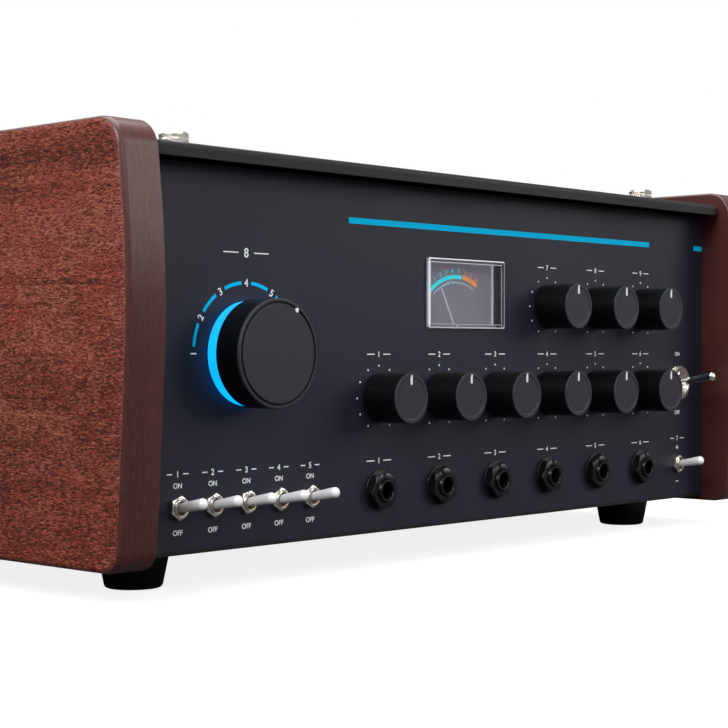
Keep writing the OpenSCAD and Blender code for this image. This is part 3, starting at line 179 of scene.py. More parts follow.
def eased(points, steps=4):
    """Rounds the corners of a profile of (x, y, radius) points. Each corner becomes an arc that
    touches both of its sides, with a holding point beside each end to keep the flats flat."""
    spots = [np.array(p[:2], float) for p in points]
    out = []
    for i, p in enumerate(points):
        radius = p[2] if len(p) > 2 else 0
        if radius == 0:
            out.append(spots[i])
            continue
        back = spots[i - 1] - spots[i]
        ahead = spots[(i + 1) % len(points)] - spots[i]
        room = min(np.linalg.norm(back), np.linalg.norm(ahead))
        back /= np.linalg.norm(back)
        ahead /= np.linalg.norm(ahead)
        half = np.arccos(np.clip(back @ ahead, -1, 1)) / 2
        cut = min(radius / np.tan(half), ARC_SHARE * room)
        reach = cut * np.tan(half)
        middle = spots[i] + (back + ahead) / np.linalg.norm(back + ahead) * reach / np.sin(half)
        start = spots[i] + back * cut - middle
        end = spots[i] + ahead * cut - middle
        sweep = pi - 2 * half
        hold = HOLD_SHARE * cut
        out.append(spots[i] + back * (cut + hold))
        for s in np.linspace(0, 1, steps + 1):
            out.append(middle + (np.sin((1 - s) * sweep) * start + np.sin(s * sweep) * end) / np.sin(sweep))
        out.append(spots[i] + ahead * (cut + hold))
    return np.array(out)


print("a turned disc has", len(turned([(0, 0), (5, 0), (5, 2), (0, 2)])[0]), "points before its poles close")

# %% [markdown]
# ## From a shape to a piece
# A shape is moved from its own axes to its place while it is still an array. Shapes that belong to one
# part are then joined into a mesh, so a knob and its white pointer are one piece. Edges that turn
# more sharply than `crease` stay crisp, the rest are shaded smooth.

# %% Place shapes and build pieces from them
PANEL_AXES = np.array([[1, 0, 0], [0, 0, -1], [0, 1, 0]])  # Z out of the front panel
REAR_AXES = np.array([[-1, 0, 0], [0, 0, 1], [0, 1, 0]])  # Z out of the rear panel


def about_z(degrees):
    """Turns about Z: (x, y) -> (x cos a - y sin a, x sin a + y cos a)."""
    c, s = np.cos(radians(degrees)), np.sin(radians(degrees))
    return np.array([[c, -s, 0], [s, c, 0], [0, 0, 1]])


def about_x(degrees):
    """Turns about X: (y, z) -> (y cos a - z sin a, y sin a + z cos a)."""
    c, s = np.cos(radians(degrees)), np.sin(radians(degrees))
    return np.array([[1, 0, 0], [0, c, -s], [0, s, c]])


def moved(shape, at=(0, 0, 0), axes=np.eye(3)):
    """The shape with its axes turned, then moved."""
    points, faces = shape
    return points @ np.asarray(axes).T + np.asarray(at, float), faces


def on_panel(shape, x, z, turn=0.0):
    """Stands a shape on the front panel at x, z, its own Z pointing forward."""
    return moved(shape, (x, face_y, z), PANEL_AXES @ about_z(turn))


def stand(parts, at, turn=0.0):
    """Stands all of a piece's shapes on the front panel, with their axis through one point."""
    return [on_panel(part, at[0], at[2], turn) for part in parts]


def build(name, shapes, finishes, body="body", stands_for=(), crease=35):
    """One mesh object from shapes, with one finish for all of them or one for each.
    Points that coincide are merged, which closes the seams between strips."""
    if not isinstance(finishes, list):
        finishes = [finishes] * len(shapes)
    palette = list(dict.fromkeys(finishes))
    points, loops, sizes, uvs, picks = [], [], [], [], []
    first = 0
    for (spots, faces), finish in zip(shapes, finishes):
        points.append(spots)
        for index, uv in faces:
            loops.append((index + first).ravel())
            sizes.append(np.full(len(index), index.shape[1]))
            uvs.append(np.reshape(uv, (-1, 2)))
            picks.append(np.full(len(index), palette.index(finish)))
        first += len(spots)
    loops, sizes = np.concatenate(loops), np.concatenate(sizes)
    spots = np.round(np.concatenate(points), 4)[loops]
    points, loops = np.unique(spots, axis=0, return_inverse=True)
    mesh = bpy.data.meshes.new(name)
    mesh.vertices.add(len(points))
    mesh.loops.add(len(loops))
    mesh.polygons.add(len(sizes))
    mesh.vertices.foreach_set("co", (points * MM).ravel())
    mesh.loops.foreach_set("vertex_index", loops.astype(np.int32))
    mesh.polygons.foreach_set("loop_start", (np.cumsum(sizes) - sizes).astype(np.int32))
    mesh.polygons.foreach_set("material_index", np.concatenate(picks).astype(np.int32))
    mesh.uv_layers.new(name="UVMap").data.foreach_set("uv", np.concatenate(uvs).ravel())
    mesh.update(calc_edges=True)
    mesh.validate()
    mesh.shade_smooth()
    mesh.set_sharp_from_angle(angle=radians(crease))
    for finish in palette:
        mesh.materials.append(finish)
    piece = bpy.data.objects.new(name, mesh)
    scene.collection.objects.link(piece)
    return settle(piece, body, stands_for)


def settle(piece, body, stands_for):
    """Fixes a piece to its body and hides the nodes that it stands for."""
    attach(piece, body)
    if stands_for:
        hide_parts(*stands_for)
    return piece


# %% [markdown]
# ## Wiring a finish
# A finish is a small graph of nodes. A few helpers keep the wiring short. One makes a material, one
# adds a node with its values, and one builds a shared effect as a node group with named inputs and
# outputs. The rest are sums and noises in one line each. A value that is the same all over a surface
# stays on the shader's own socket.

# %% Helpers for materials and node groups


def add(tree, kind, values=None, **settings):
    """A node of that kind. values fills inputs by name or number: a socket is linked, the rest is set."""
    node = tree.nodes.new("ShaderNode" + kind)
    for key, value in settings.items():
        setattr(node, key, value)
    for key, value in (values or {}).items():
        if isinstance(value, bpy.types.NodeSocket):
            tree.links.new(value, node.inputs[key])
        else:
            node.inputs[key].default_value = value
    return node


def ramp(tree, factor, stops):
    """A colour ramp through (place, colour) stops."""
    node = add(tree, "ValToRGB", {"Fac": factor})
    band = node.color_ramp
    while len(band.elements) < len(stops):
        band.elements.new(0.5)
    for element, (place, colour) in zip(band.elements, stops):
        element.position = place
        element.color = (*colour, 1)
    return node.outputs["Color"]


def link(tree, sockets, **values):
    """Links each value to the socket of its name."""
    for key, value in values.items():
        tree.links.new(value, sockets[key.replace("_", " ")])


def maths(tree, operation, *values):
    """One Math node over sockets or numbers."""
    return add(tree, "Math", dict(enumerate(values)), operation=operation).outputs[0]


def spread(tree, value, low, high, to_low, to_high):
    """Carries low..high over to to_low..to_high and holds it at both ends."""
    return add(tree, "MapRange", {0: value, 1: low, 2: high, 3: to_low, 4: to_high}).outputs[0]


def noise(tree, place, scale, detail=2.0, warp=0.0):
    """Noise from 0 to 1 at a place in space."""
    values = {"Vector": place, "Scale": scale, "Detail": detail, "Distortion": warp}
    return add(tree, "TexNoise", values).outputs["Fac"]


def line_noise(tree, value, scale, detail):
    """Noise from 0 to 1 along a single number, such as a distance or an angle."""
    values = {"W": value, "Scale": scale, "Detail": detail}
    return add(tree, "TexNoise", values, noise_dimensions="1D").outputs["Fac"]


def blend(tree, factor, one, two):
    """One colour that gives way to another as the factor rises."""
    return add(tree, "Mix", {0: factor, 6: one, 7: two}, data_type="RGBA").outputs[2]


def grey(level):
    """A neutral colour."""
    return (level, level, level)


def new_finish(name, **values):
    """A material and its tree, with the Principled shader's own sockets set from values."""
    material = bpy.data.materials.new(name)
    material.use_nodes = True
    tree = material.node_tree
    shader = tree.nodes["Principled BSDF"]
    for socket, value in values.items():
        socket = socket.replace("_", " ")
        shader.inputs[socket].default_value = (*value, 1) if isinstance(value, tuple) else value
    return material, tree, shader


def new_effect(name, inputs, outputs):
    """An empty node group. inputs maps names to default values, outputs maps names to socket kinds."""
    group = bpy.data.node_groups.new(name, "ShaderNodeTree")
    for key, value in inputs.items():
        kind = "NodeSocketColor" if np.ndim(value) else "NodeSocketFloat"
        if key == "Place":
            kind = "NodeSocketVector"
        socket = group.interface.new_socket(key, in_out="INPUT", socket_type=kind)
        if key != "Place":
            socket.default_value = (*value, 1) if np.ndim(value) else value
    for key, kind in outputs.items():
        group.interface.new_socket(key, in_out="OUTPUT", socket_type="NodeSocket" + kind)
    return group, group.nodes.new("NodeGroupInput").outputs, group.nodes.new("NodeGroupOutput").inputs


def use(tree, group, **values):
    """Places a shared effect in a material's tree and fills its inputs."""
    node = add(tree, "Group", node_tree=group)
    for key, value in values.items():
        socket = node.inputs[key.replace("_", " ")]
        if isinstance(value, bpy.types.NodeSocket):
            tree.links.new(value, socket)
        else:
            socket.default_value = (*value, 1) if np.ndim(value) else value
    return node.outputs


def place_of(tree, turn=(0, 0, 0), scale=(1, 1, 1), uv=False):
    """The point on the piece, from its Object coordinates or its UV map, turned and stretched."""
    source = add(tree, "TexCoord").outputs["UV" if uv else "Object"]
    return add(tree, "Mapping", {"Vector": source, "Rotation": turn, "Scale": scale}).outputs[0]


# %% [markdown]
# ## Shared effects
# Four effects are used again and again. *Paint* is the fine orange peel of powder coat and moulded
# plastic. *Handling* is the large, faint unevenness that fingers and cloths leave in the shine.
# *Turning* is the fine record-groove pattern that a lathe leaves on a face, read from the UV map that
# runs along each profile. *Dust* settles on whatever faces up.

# %% Build the shared effects


def make_paint():
    """Height = noise at Grain; Colour = base, a little lighter and darker with a broad noise."""
    group, given, wanted = new_effect(
        "paint", {"Place": 0, "Colour": grey(0.5), "Grain": 2500.0, "Unevenness": 0.15, "Shine": 0.4},
        {"Colour": "Color", "Roughness": "Float", "Height": "Float"})
    fine = noise(group, given["Place"], given["Grain"])
    broad = noise(group, given["Place"], 14.0, 3.0)
    amount = maths(group, "MULTIPLY", maths(group, "SUBTRACT", broad, 0.5), given["Unevenness"])
    lift = maths(group, "ADD", amount, 1.0)
    tint = add(group, "VectorMath", {0: given["Colour"], "Scale": lift}, operation="SCALE").outputs[0]
    speck = spread(group, fine, 0.0, 1.0, -0.04, 0.04)
    rough = maths(group, "ADD", maths(group, "ADD", given["Shine"], amount), speck)
    link(group, wanted, Colour=tint, Roughness=rough, Height=fine)
    return group


def make_handling():
    """Roughness = Shine + Amount * (smear + scratch - 1), two noises from 0 to 1; Height = scratch."""
    group, given, wanted = new_effect(
        "handling", {"Place": 0, "Shine": 0.25, "Amount": 0.15}, {"Roughness": "Float", "Height": "Float"})
    smear = noise(group, given["Place"], 90.0, 4.0)
    scratch = noise(group, given["Place"], 1600.0)
    shift = maths(group, "SUBTRACT", maths(group, "ADD", smear, scratch), 1.0)
    rough = maths(group, "MULTIPLY_ADD", shift, given["Amount"], given["Shine"])
    link(group, wanted, Roughness=rough, Height=scratch)
    return group


def make_turning():
    """Height = noise of (distance along the profile * Lines): rings that a lathe tool leaves."""
    group, given, wanted = new_effect(
        "turning", {"Place": 0, "Lines": 6.0, "Shine": 0.3}, {"Roughness": "Float", "Height": "Float"})
    along = add(group, "SeparateXYZ", {0: given["Place"]}).outputs["Y"]
    grooves = line_noise(group, maths(group, "MULTIPLY", along, given["Lines"]), 1.0, 3.0)
    rough = maths(group, "ADD", spread(group, grooves, 0.0, 1.0, -0.08, 0.08), given["Shine"])
    link(group, wanted, Roughness=rough, Height=grooves)
    return group


def make_dust():
    """Mask = how far the surface faces up, broken by noise, times Amount."""
    group, given, wanted = new_effect("dust", {"Place": 0, "Amount": 0.3}, {"Mask": "Float"})
    facing = add(group, "SeparateXYZ", {0: add(group, "NewGeometry").outputs["Normal"]}).outputs["Z"]
    level = spread(group, facing, 0.6, 1.0, 0.0, 1.0)
    flecks = spread(group, noise(group, given["Place"], 700.0, 5.0), 0.45, 0.75, 0.0, 1.0)
    mask = maths(group, "MULTIPLY", maths(group, "MULTIPLY", level, flecks), given["Amount"])
    link(group, wanted, Mask=mask)
    return group


paint, handling, turning, dust = make_paint(), make_handling(), make_turning(), make_dust()
print("shared effects:", [g.name for g in bpy.data.node_groups])

# %% [markdown]
# ## Everyday finishes
# Most parts need one of three recipes: coated, which is paint or moulded plastic, plain or plated
# metal, and turned. Each recipe is a function, so a new part only says its colour, its shine and how
# coarse it is.

# %% Recipes that make a finish
DUST_COLOUR = (0.32, 0.3, 0.28, 1)


def dressed(tree, shader, height, depth, **values):
    """Links colour and roughness to the shader, and the height through a Bump node of that depth,
    in millimetres."""
    link(tree, shader.inputs, **values)
    bump = add(tree, "Bump", {"Height": height, "Distance": depth * MM, "Strength": 1.0})
    tree.links.new(bump.outputs[0], shader.inputs["Normal"])


def coated(name, colour, shine, grain=2500.0, depth=0.02, unevenness=0.2, dusty=0.0, **values):
    """Powder coat or moulded plastic: paint grain, and dust where it faces up."""
    material, tree, shader = new_finish(name, **values)
    here = place_of(tree)
    out = use(tree, paint, Place=here, Colour=colour, Grain=grain, Unevenness=unevenness, Shine=shine)
    tint = out["Colour"]
    if dusty:
        tint = blend(tree, use(tree, dust, Place=here, Amount=dusty)["Mask"], tint, DUST_COLOUR)
    dressed(tree, shader, out["Height"], depth, Base_Color=tint, Roughness=out["Roughness"])
    return material


def metal(name, colour, shine, smears=0.15, depth=0.004, stretch=(1, 1, 1), metallic=1.0, **values):
    """Bare or plated metal: its shine is uneven where it was handled. stretch brushes it one way."""
    material, tree, shader = new_finish(name, Metallic=metallic, Base_Color=colour, **values)
    out = use(tree, handling, Place=place_of(tree, scale=stretch), Shine=shine, Amount=smears)
    dressed(tree, shader, out["Height"], depth, Roughness=out["Roughness"])
    return material


def lathed(name, colour, shine, lines=6.0, depth=0.01, **values):
    """A turned face with fine rings round its axis."""
    material, tree, shader = new_finish(name, Base_Color=colour, **values)
    out = use(tree, turning, Place=place_of(tree, uv=True), Lines=lines, Shine=shine)
    dressed(tree, shader, out["Height"], depth, Roughness=out["Roughness"])
    return material


panel_paint = coated("panel_paint", (0.011, 0.012, 0.026), 0.5, grain=1800.0, depth=0.03, dusty=0.02,
                     Specular_IOR_Level=0.35)
lid_paint = coated("lid_paint", (0.007, 0.007, 0.0095), 0.5, grain=1400.0, depth=0.05, dusty=0.05,
                   Specular_IOR_Level=0.3)
bright_nickel = metal("bright_nickel", (0.83, 0.8, 0.74), 0.14, smears=0.08)
satin_nickel = metal("satin_nickel", (0.8, 0.78, 0.74), 0.3, smears=0.12)
zinc_screw = metal("zinc_screw", (0.5, 0.5, 0.5), 0.3)
black_moulding = coated("black_moulding", (0.012, 0.012, 0.012), 0.32, grain=1200.0, depth=0.01)
foot_rubber = coated("foot_rubber", (0.004, 0.0045, 0.0045), 0.2, grain=900.0, depth=0.01, dusty=0.05)
white_print = coated("white_print", (0.9, 0.92, 0.94), 0.5, unevenness=0.1)
cyan_print = coated("cyan_print", (0.001, 0.59, 1.0), 0.5, unevenness=0.08, Specular_IOR_Level=0.03)
print("finishes so far:", len(bpy.data.materials))

# %% [markdown]
# ## Mahogany
# The cheeks are board with a reddish-brown veneer. Its grain runs front to back: short dark pores,
# lighter flecks between them, broad patches of a warmer red, and long dark lines that come and go.
# The grain could be a picture, but then it would end at the edge. Noise stretched along the grain
# does the same from the object's own coordinates. The edge band is a strip of the same wood, glued on
# round the rim, so its grain follows the rim instead. The rim's UV map gives that.

# %% Build the wood effect and its two finishes


def make_wood():
    """Shade = patches + flecks - pores - long lines. Colour runs through Dark, Middle and Light with
    that shade, and Light gives way to Warm in places."""
    group, given, wanted = new_effect(
        "wood", {"Place": 0, "Dark": grey(0.02), "Middle": grey(0.1), "Light": grey(0.3), "Warm": grey(0.3),
                 "Flecks": 1.0, "Lines": 1.0},
        {"Colour": "Color", "Roughness": "Float", "Height": "Float"})

    def grainy(along, across, detail, warp=0.0, start=0.0):
        stretched = add(group, "Mapping", {"Vector": given["Place"], "Location": (start, start, start),
                                           "Scale": (along, across, across)}).outputs[0]
        return noise(group, stretched, 1.0, detail, warp)

    patches = spread(group, grainy(9.0, 20.0, 4.0, 1.2, 8.1), 0.32, 0.68, 0.66, 0.36)
    flecks = spread(group, grainy(560.0, 2100.0, 2.5, 0.9), 0.3, 0.7, -0.62, 0.62)
    pores = spread(group, grainy(300.0, 1500.0, 2.0, 0.8), 0.54, 0.68, 0.0, 1.0)
    long_lines = spread(group, grainy(4.0, 105.0, 3.0, 1.2), 0.36, 0.47, 1.0, 0.0)
    where = spread(group, grainy(5.0, 16.0, 2.0, 0.0, 8.1), 0.44, 0.62, 0.0, -0.34)
    masked = maths(group, "MULTIPLY", where, given["Lines"])
    shade = maths(group, "MULTIPLY_ADD", flecks, given["Flecks"], patches)
    shade = maths(group, "MULTIPLY_ADD", pores, -0.2, shade)
    shade = maths(group, "MULTIPLY_ADD", long_lines, masked, shade)
    warm = spread(group, grainy(14.0, 30.0, 3.0, 1.5), 0.42, 0.6, 1.0, 0.0)
    lower = blend(group, spread(group, shade, 0.0, 0.5, 0.0, 1.0), given["Dark"], given["Middle"])
    upper = blend(group, warm, given["Light"], given["Warm"])
    colour = blend(group, spread(group, shade, 0.5, 1.0, 0.0, 1.0), lower, upper)
    rough = spread(group, shade, 0.0, 1.0, 0.62, 0.5)
    link(group, wanted, Colour=colour, Roughness=rough, Height=shade)
    return group


def wooden(name, place, colours, flecks, lines, depth, **values):
    """Lacquered wood, its grain along the place's X. colours are dark, middle, light and warm."""
    material, tree, shader = new_finish(name, **values)
    dark, middle, light, warm = colours
    out = use(tree, wood, Place=place(tree), Dark=dark, Middle=middle, Light=light, Warm=warm,
              Flecks=flecks, Lines=lines)
    dressed(tree, shader, out["Height"], depth, Base_Color=out["Colour"], Roughness=out["Roughness"])
    return material


wood = make_wood()
SIDE_TURN = (0, 0, radians(-90))  # the grain lies along the object's Y
RIM_STRETCH = (MM * 0.3, MM, MM)  # the UV map of the rim is in millimetres
mahogany_side = wooden(
    "mahogany_side", lambda tree: place_of(tree, turn=SIDE_TURN),
    ((0.028, 0.004, 0.002), (0.15, 0.024, 0.013), (0.345, 0.082, 0.056), (0.32, 0.112, 0.073)),
    flecks=1.0, lines=1.0, depth=0.06, Specular_IOR_Level=0.3)
mahogany_edge = wooden(
    "mahogany_edge", lambda tree: place_of(tree, uv=True, scale=RIM_STRETCH),
    ((0.026, 0.005, 0.004), (0.066, 0.014, 0.0115), (0.1, 0.023, 0.02), (0.1, 0.03, 0.024)),
    flecks=0.5, lines=0.0, depth=0.02, Coat_Weight=0.6, Coat_Roughness=0.28, Specular_IOR_Level=0.2)
print("wood finishes:", mahogany_side.name, mahogany_edge.name)

# %% [markdown]
# ## Cheeks
# Each cheek is sawn to one outline: two straight slants that a wide arc blends at the nose, a soft top
# corner and a tighter bottom corner, the same at front and back. The outline is drawn in by a small
# inset to round the outer edge and to bevel the inner one. Carrying it through the board's
# thickness keeps that rounding even, which a Bevel modifier on such a long arc would not.

# %% Cut the cheeks from their outline
CHEEK_SLANTS = (3.6, 6.3)  # degrees below and above the nose
CHEEK_ARCS = (8.5, 350.0, 12.0)  # bottom corner, nose, top corner
NOSE_UP = 92.0
EDGE_ROUND = 2.4
INNER_BEVEL = 0.8


def arc(centre, radius, start, end, n):
    """n + 1 points on a circle from one angle to another, in degrees."""
    a = np.radians(np.linspace(start, end, n + 1))
    return np.asarray(centre) + radius * np.stack([np.cos(a), np.sin(a)], -1)


def cheek_outline(low, high, inset):
    """The cheek in the Y-Z plane. A corner's centre lies where its circle touches the slant."""
    down, up = CHEEK_SLANTS
    bottom, nose, top = CHEEK_ARCS
    nose_at = np.array([low[1] + nose, low[2] + NOSE_UP])

    def corner(slant, radius, z):
        a = radians(slant)
        return nose_at[0] + (nose - radius - (z - nose_at[1]) * np.sin(a)) / np.cos(a), z

    front = np.concatenate([
        arc(corner(180 + down, bottom, low[2] + bottom), bottom - inset, 270, 180 + down, 10),
        arc(nose_at, nose - inset, 180 + down, 180 - up, 24),
        arc(corner(180 - up, top, high[2] - top), top - inset, 180 - up, 90, 12)])
    back = front[::-1] * [-1, 1] + [low[1] + high[1], 0]
    return np.concatenate([front, back])


def cheek(side):
    """Rings of the outline: up the bevel, across the rim, round the outer edge, onto the side."""
    low, high = corners(side + "_cheek")
    out = 1 if side == "right" else -1
    inner, outer = (low[0], high[0]) if out > 0 else (high[0], low[0])
    a = np.linspace(0, pi / 2, 9)
    rim = [(inner, INNER_BEVEL), (inner + out * INNER_BEVEL, 0), (inner + out * 1.2 * INNER_BEVEL, 0),
           (outer - out * EDGE_ROUND * 1.15, 0)]
    bend = list(zip(outer - out * EDGE_ROUND * (1 - np.sin(a)), EDGE_ROUND * (1 - np.cos(a))))

    def rings(stations):
        lines = [cheek_outline(low, high, inset) for _, inset in stations]
        return np.stack([np.column_stack([np.full(len(y), x), y]) for (x, _), y in zip(stations, lines)])

    band = rings(rim + bend[:6])
    face = rings(bend[5:] + [(outer, EDGE_ROUND + 0.4)])
    back = rings([(inner, INNER_BEVEL + 0.4), (inner, INNER_BEVEL)])
    return band, face, back


def strip(rings, cap=None, flip=False):
    """A band through rings whose UV map is in millimetres along the outline and across it.
    cap closes the first (0) or last (-1) ring."""
    points, faces = skin(rings)
    line = rings[0]
    run = np.concatenate([[0], np.cumsum(np.linalg.norm(np.roll(line, -1, axis=0) - line, axis=1))])
    index, uv = faces[0]
    uv = uv.copy()
    uv[..., 0] = np.interp(uv[..., 0], np.linspace(0, 1, len(run)), run)
    faces = [(index, uv)]
    size = rings.shape[1]
    if cap is not None:
        ends = np.arange(size)[::-1] if cap == 0 else np.arange(size) + (len(rings) - 1) * size
        faces.append((ends[None], np.zeros((1, size, 2))))
    if flip:
        faces = [(i[:, ::-1], t[:, ::-1]) for i, t in faces]
    return points, faces


for side in ("left", "right"):
    band, face, back = cheek(side)
    mirrored = side == "right"
    parts = [strip(band, flip=mirrored), strip(face, -1, mirrored), strip(back, 0, mirrored)]
    build("mahogany_" + side + "_cheek", parts, [mahogany_edge, mahogany_side, mahogany_edge],
          stands_for=[side + "_cheek"], crease=50)
    print(side, "cheek", band.shape)

# %% [markdown]
# ## Lid
# The lid is a sheet folded down on all four sides, so its edge is a bend and not a corner. One
# profile does it: across the top, round the bend, down the rim, and back up inside at a sheet's
# distance. Carrying the profile round a rounded rectangle folds all four sides at once.

# %% Fold the lid
SHEET = 1.5
BEND = 1.9  # radius of the fold outside
LID_CORNER = 3.5


def round_rectangle(width, depth, radius, steps=8):
    """Outline of a rectangle whose corners are arcs, counter-clockwise, centred on the origin."""
    x, y = width / 2 - radius, depth / 2 - radius
    return np.concatenate([arc((x, y), radius, 0, 90, steps), arc((-x, y), radius, 90, 180, steps),
                           arc((-x, -y), radius, 180, 270, steps), arc((x, -y), radius, 270, 360, steps)])


def framed(width, depth, radius, profile, wrap=False, steps=8):
    """Carries a profile of (inset, height) round a rounded rectangle and caps it unless it wraps.
    The corner's radius shrinks with the inset and never falls under a twentieth of a millimetre."""
    rings = []
    for inset, z in profile:
        line = round_rectangle(width - 2 * inset, depth - 2 * inset, max(radius - inset, 0.05), steps)
        rings.append(np.column_stack([line, np.full(len(line), z)]))
    return skin(rings, wrap=wrap, caps=not wrap)


low, high = corners("lid")
size = high - low
under = high[2] - SHEET
bend = [(BEND * (1 - np.cos(a)), high[2] - BEND * (1 - np.sin(a))) for a in np.linspace(0, pi / 2, 7)]
fold = [(6, under), (SHEET + 0.8, under), (SHEET, under - 0.8), (SHEET, low[2] + 0.15),
        (SHEET - 0.15, low[2]), (0.15, low[2]), (0, low[2] + 0.15), (0, high[2] - BEND - 0.2)]
fold += bend + [(BEND + 0.3, high[2]), (6, high[2])]
middle = (low + high) / 2
lid_shell = moved(framed(size[0], size[1], LID_CORNER, fold), (middle[0], middle[1], 0))
build("folded_lid", [lid_shell], lid_paint, body="lid", stands_for=["lid"])
print("lid", np.round(size, 1), "mm")

# %% [markdown]
# ## Thumb screws
# Two knurled screws hold the lid, and two fingers turn them. A knurl is a ripple on the radius, here two
# sets of slanted ridges that cross, which leaves the usual diamonds. Only the band that the
# fingers grip is knurled, so the ripple fades out towards both chamfers.

# %% Turn the lid's thumb screws
KNURL_RIDGES = 36
KNURL_SLANT = 5.0  # radians by which a ridge leans in a millimetre of height
KNURL_DEPTH = 0.22
KNURL_FADE = 0.25
NECK_H = 1.4
SCREW_THREAD = (2.0, 0.7, 0.22)  # radius, pitch and depth


def within(z, bottom, top, fade):
    """1 between bottom and top, 0 outside, with a straight slope of that width at both ends."""
    return np.clip(np.minimum(z - bottom, top - z) / fade, 0, 1)


def saw(a, z, pitch):
    """A thread's height 0..1: |2 ((z / pitch - a / 2 pi) mod 1) - 1|, one ridge to a turn."""
    return np.abs(((z / pitch - a / 2 / pi) % 1) * 2 - 1)


def diamonds(radius, bottom, top, ridges=KNURL_RIDGES, depth=KNURL_DEPTH):
    """Ripple: r - depth * (2 - |sin(n a / 2 + s z)| - |sin(n a / 2 - s z)|) on the band bottom..top."""
    def ripple(a, r, z):
        way, slant = ridges * a / 2, KNURL_SLANT * z
        crossed = np.abs(np.sin(way + slant)) + np.abs(np.sin(way - slant))
        return r - depth * within(z, bottom, top, KNURL_FADE) * (r > radius - 0.05) * (2 - crossed)
    return ripple


def thumb_screw(radius, height, reach):
    """Thread and neck below, then the knurled head with a turned, slightly hollow top."""
    grip = NECK_H + 0.7, height - 0.9
    head = [(0, 0), (radius - 1.2, 0), (radius - 1.2, NECK_H), (radius - 0.6, NECK_H)]
    head += [(radius, z) for z in np.linspace(*grip, 24)]
    head += [(radius - 0.75, height - 0.08), (radius - 1.0, height), (radius - 1.6, height),
             (radius - 1.9, height - 0.25), (0, height - 0.3)]
    thread_r, pitch, depth = SCREW_THREAD
    thread = [(thread_r, z) for z in np.linspace(-reach, 0.3, int(reach / pitch * 5))]
    return [turned(head, 288, diamonds(radius, *grip)),
            turned([(0, -reach)] + thread + [(0, 0.3)], 32,
                   lambda a, r, z: r - depth * (r > 1) * saw(a, z, pitch))]


lid_top = corners("lid")[1][2]
for side in ("left", "right"):
    node = "lid_screw_" + side
    at = pins[node + "_turn"]
    low, high = corners(node)
    parts = thumb_screw((high[0] - low[0]) / 2, high[2] - lid_top, lid_top - low[2])
    build("knurled_" + node, [moved(p, (at[0], at[1], lid_top)) for p in parts], bright_nickel,
          body=node, stands_for=[node])
print("thumb screw head", np.round(high - low, 1))

# %% [markdown]
# ## Knobs
# The nine small knobs and the large one are turned from bar and dyed black. Their sides are deep black and
# their faces carry fine rings that catch the light. The faces' lighter grey colour is painted sheen: a
# grey that stands for the light those rings catch, on a face dyed as black as the side. So sides and
# faces are two finishes on one piece. The white pointer lies in a groove and is a part of the knob, so
# it shows which way the knob is turned in every pose.

# %% Turn the knobs
knob_side = lathed("knob_side", (0.0022, 0.0022, 0.0026), 0.36, lines=3.0, depth=0.004,
                   Specular_IOR_Level=0.25)
# Painted sheen: the face's grey base colour stands for the light its turned rings catch; the dye is as black as
# the side's.
knob_face = lathed("knob_face", (0.028, 0.028, 0.036), 0.42, lines=7.0, depth=0.006,
                   Specular_IOR_Level=0.3)
shaft_steel = metal("shaft_steel", (0.6, 0.6, 0.6), 0.3)
pointer_white = coated("pointer_white", (0.85, 0.85, 0.85), 0.45, unevenness=0.05)

KNOB_GAP = 1.0
SHAFT_R = 3.0
WELL = (7.5, 5.5)  # radius and depth of the hollow behind a small knob
RIM = 1.5  # width of the raised rim round a small knob's face
DISH = 0.25
POINTER = (1.1, 4.0, 2.6)  # width, length, and how far its middle lies inside the edge
MODE_THICK = 12.5
MODE_ROUND = 0.9
MODE_GROOVE = (1.1, 0.9, 0.6)  # distance from the edge, width and depth of the ring groove
MODE_MARK = (1.5, 1.8, 1.85)  # as the pointer
MARK_PROUD = 0.03
MODE_REST = 30.0  # the mode knob's mark stands this far clockwise from the top


def inlay(width, length, middle, bottom, top):
    """A bar across a face, its middle that far above the axis, with rounded ends."""
    profile = [(0, bottom), (0, top - 0.08), (0.08, top)]
    return moved(framed(width, length, width / 2 - 0.1, profile, steps=4), (0, middle, 0))


def small_knob(radius, length):
    """The hollow back, the side, the thin bright edge and the dished face, from the back forward."""
    z0, z1 = KNOB_GAP, KNOB_GAP + length
    side = eased([(0, z0 + WELL[1]), (WELL[0], z0 + WELL[1]), (WELL[0], z0), (radius, z0, 0.3),
                  (radius, z1 - 0.5)])
    face = eased([(radius, z1 - 0.5), (radius, z1, 0.45), (radius - RIM, z1, 0.3),
                  (radius - RIM - 0.3, z1 - DISH, 0.2), (0, z1 - DISH)])
    width, run, inset = POINTER
    bar = inlay(width, run, radius - inset, z1 - 0.6, z1 + MARK_PROUD)
    return [turned(side, 96), turned(face, 96), bar]


def mode_dial(radius, back, front):
    """A plain side, a rounded edge, a ring groove and a flat face, with a white mark at the edge."""
    start, width, depth = MODE_GROOVE
    inner = radius - start - width
    side = eased([(0, back), (radius, back, 0.6), (radius, front - MODE_ROUND - 0.2)])
    edge = eased([(radius, front - MODE_ROUND - 0.2), (radius, front, MODE_ROUND),
                  (radius - start, front, 0.15), (radius - start, front - depth)])
    groove = [(radius - start, front - depth), (inner, front - depth)]
    face = eased([(inner, front - depth), (inner, front, 0.2), (0, front)])
    broad, run, inset = MODE_MARK
    mark = inlay(broad, run, radius - inset, front - depth, front + 0.04)
    return [turned(side, 160), turned(edge, 160), turned(groove, 160), turned(face, 160), mark]


def shaft(start, end):
    """The pot's shaft, out of sight behind the knob."""
    return turned(eased([(0, start), (SHAFT_R, start, 0.4), (SHAFT_R, end), (0, end)]), 32)


small_knobs = ["knob_%d" % i for i in range(1, 7)] + ["tone_knob_%d" % i for i in range(1, 4)]
for node in small_knobs:
    at = pins[node + "_turn"]
    low, high = corners(node)
    behind, ahead = panel_reach(node)
    parts = small_knob((high[0] - low[0]) / 2, ahead - KNOB_GAP) + [shaft(behind, KNOB_GAP + WELL[1] + 0.5)]
    build("turned_" + node, stand(parts, at), [knob_side, knob_face, pointer_white, shaft_steel],
          body=node, stands_for=[node])

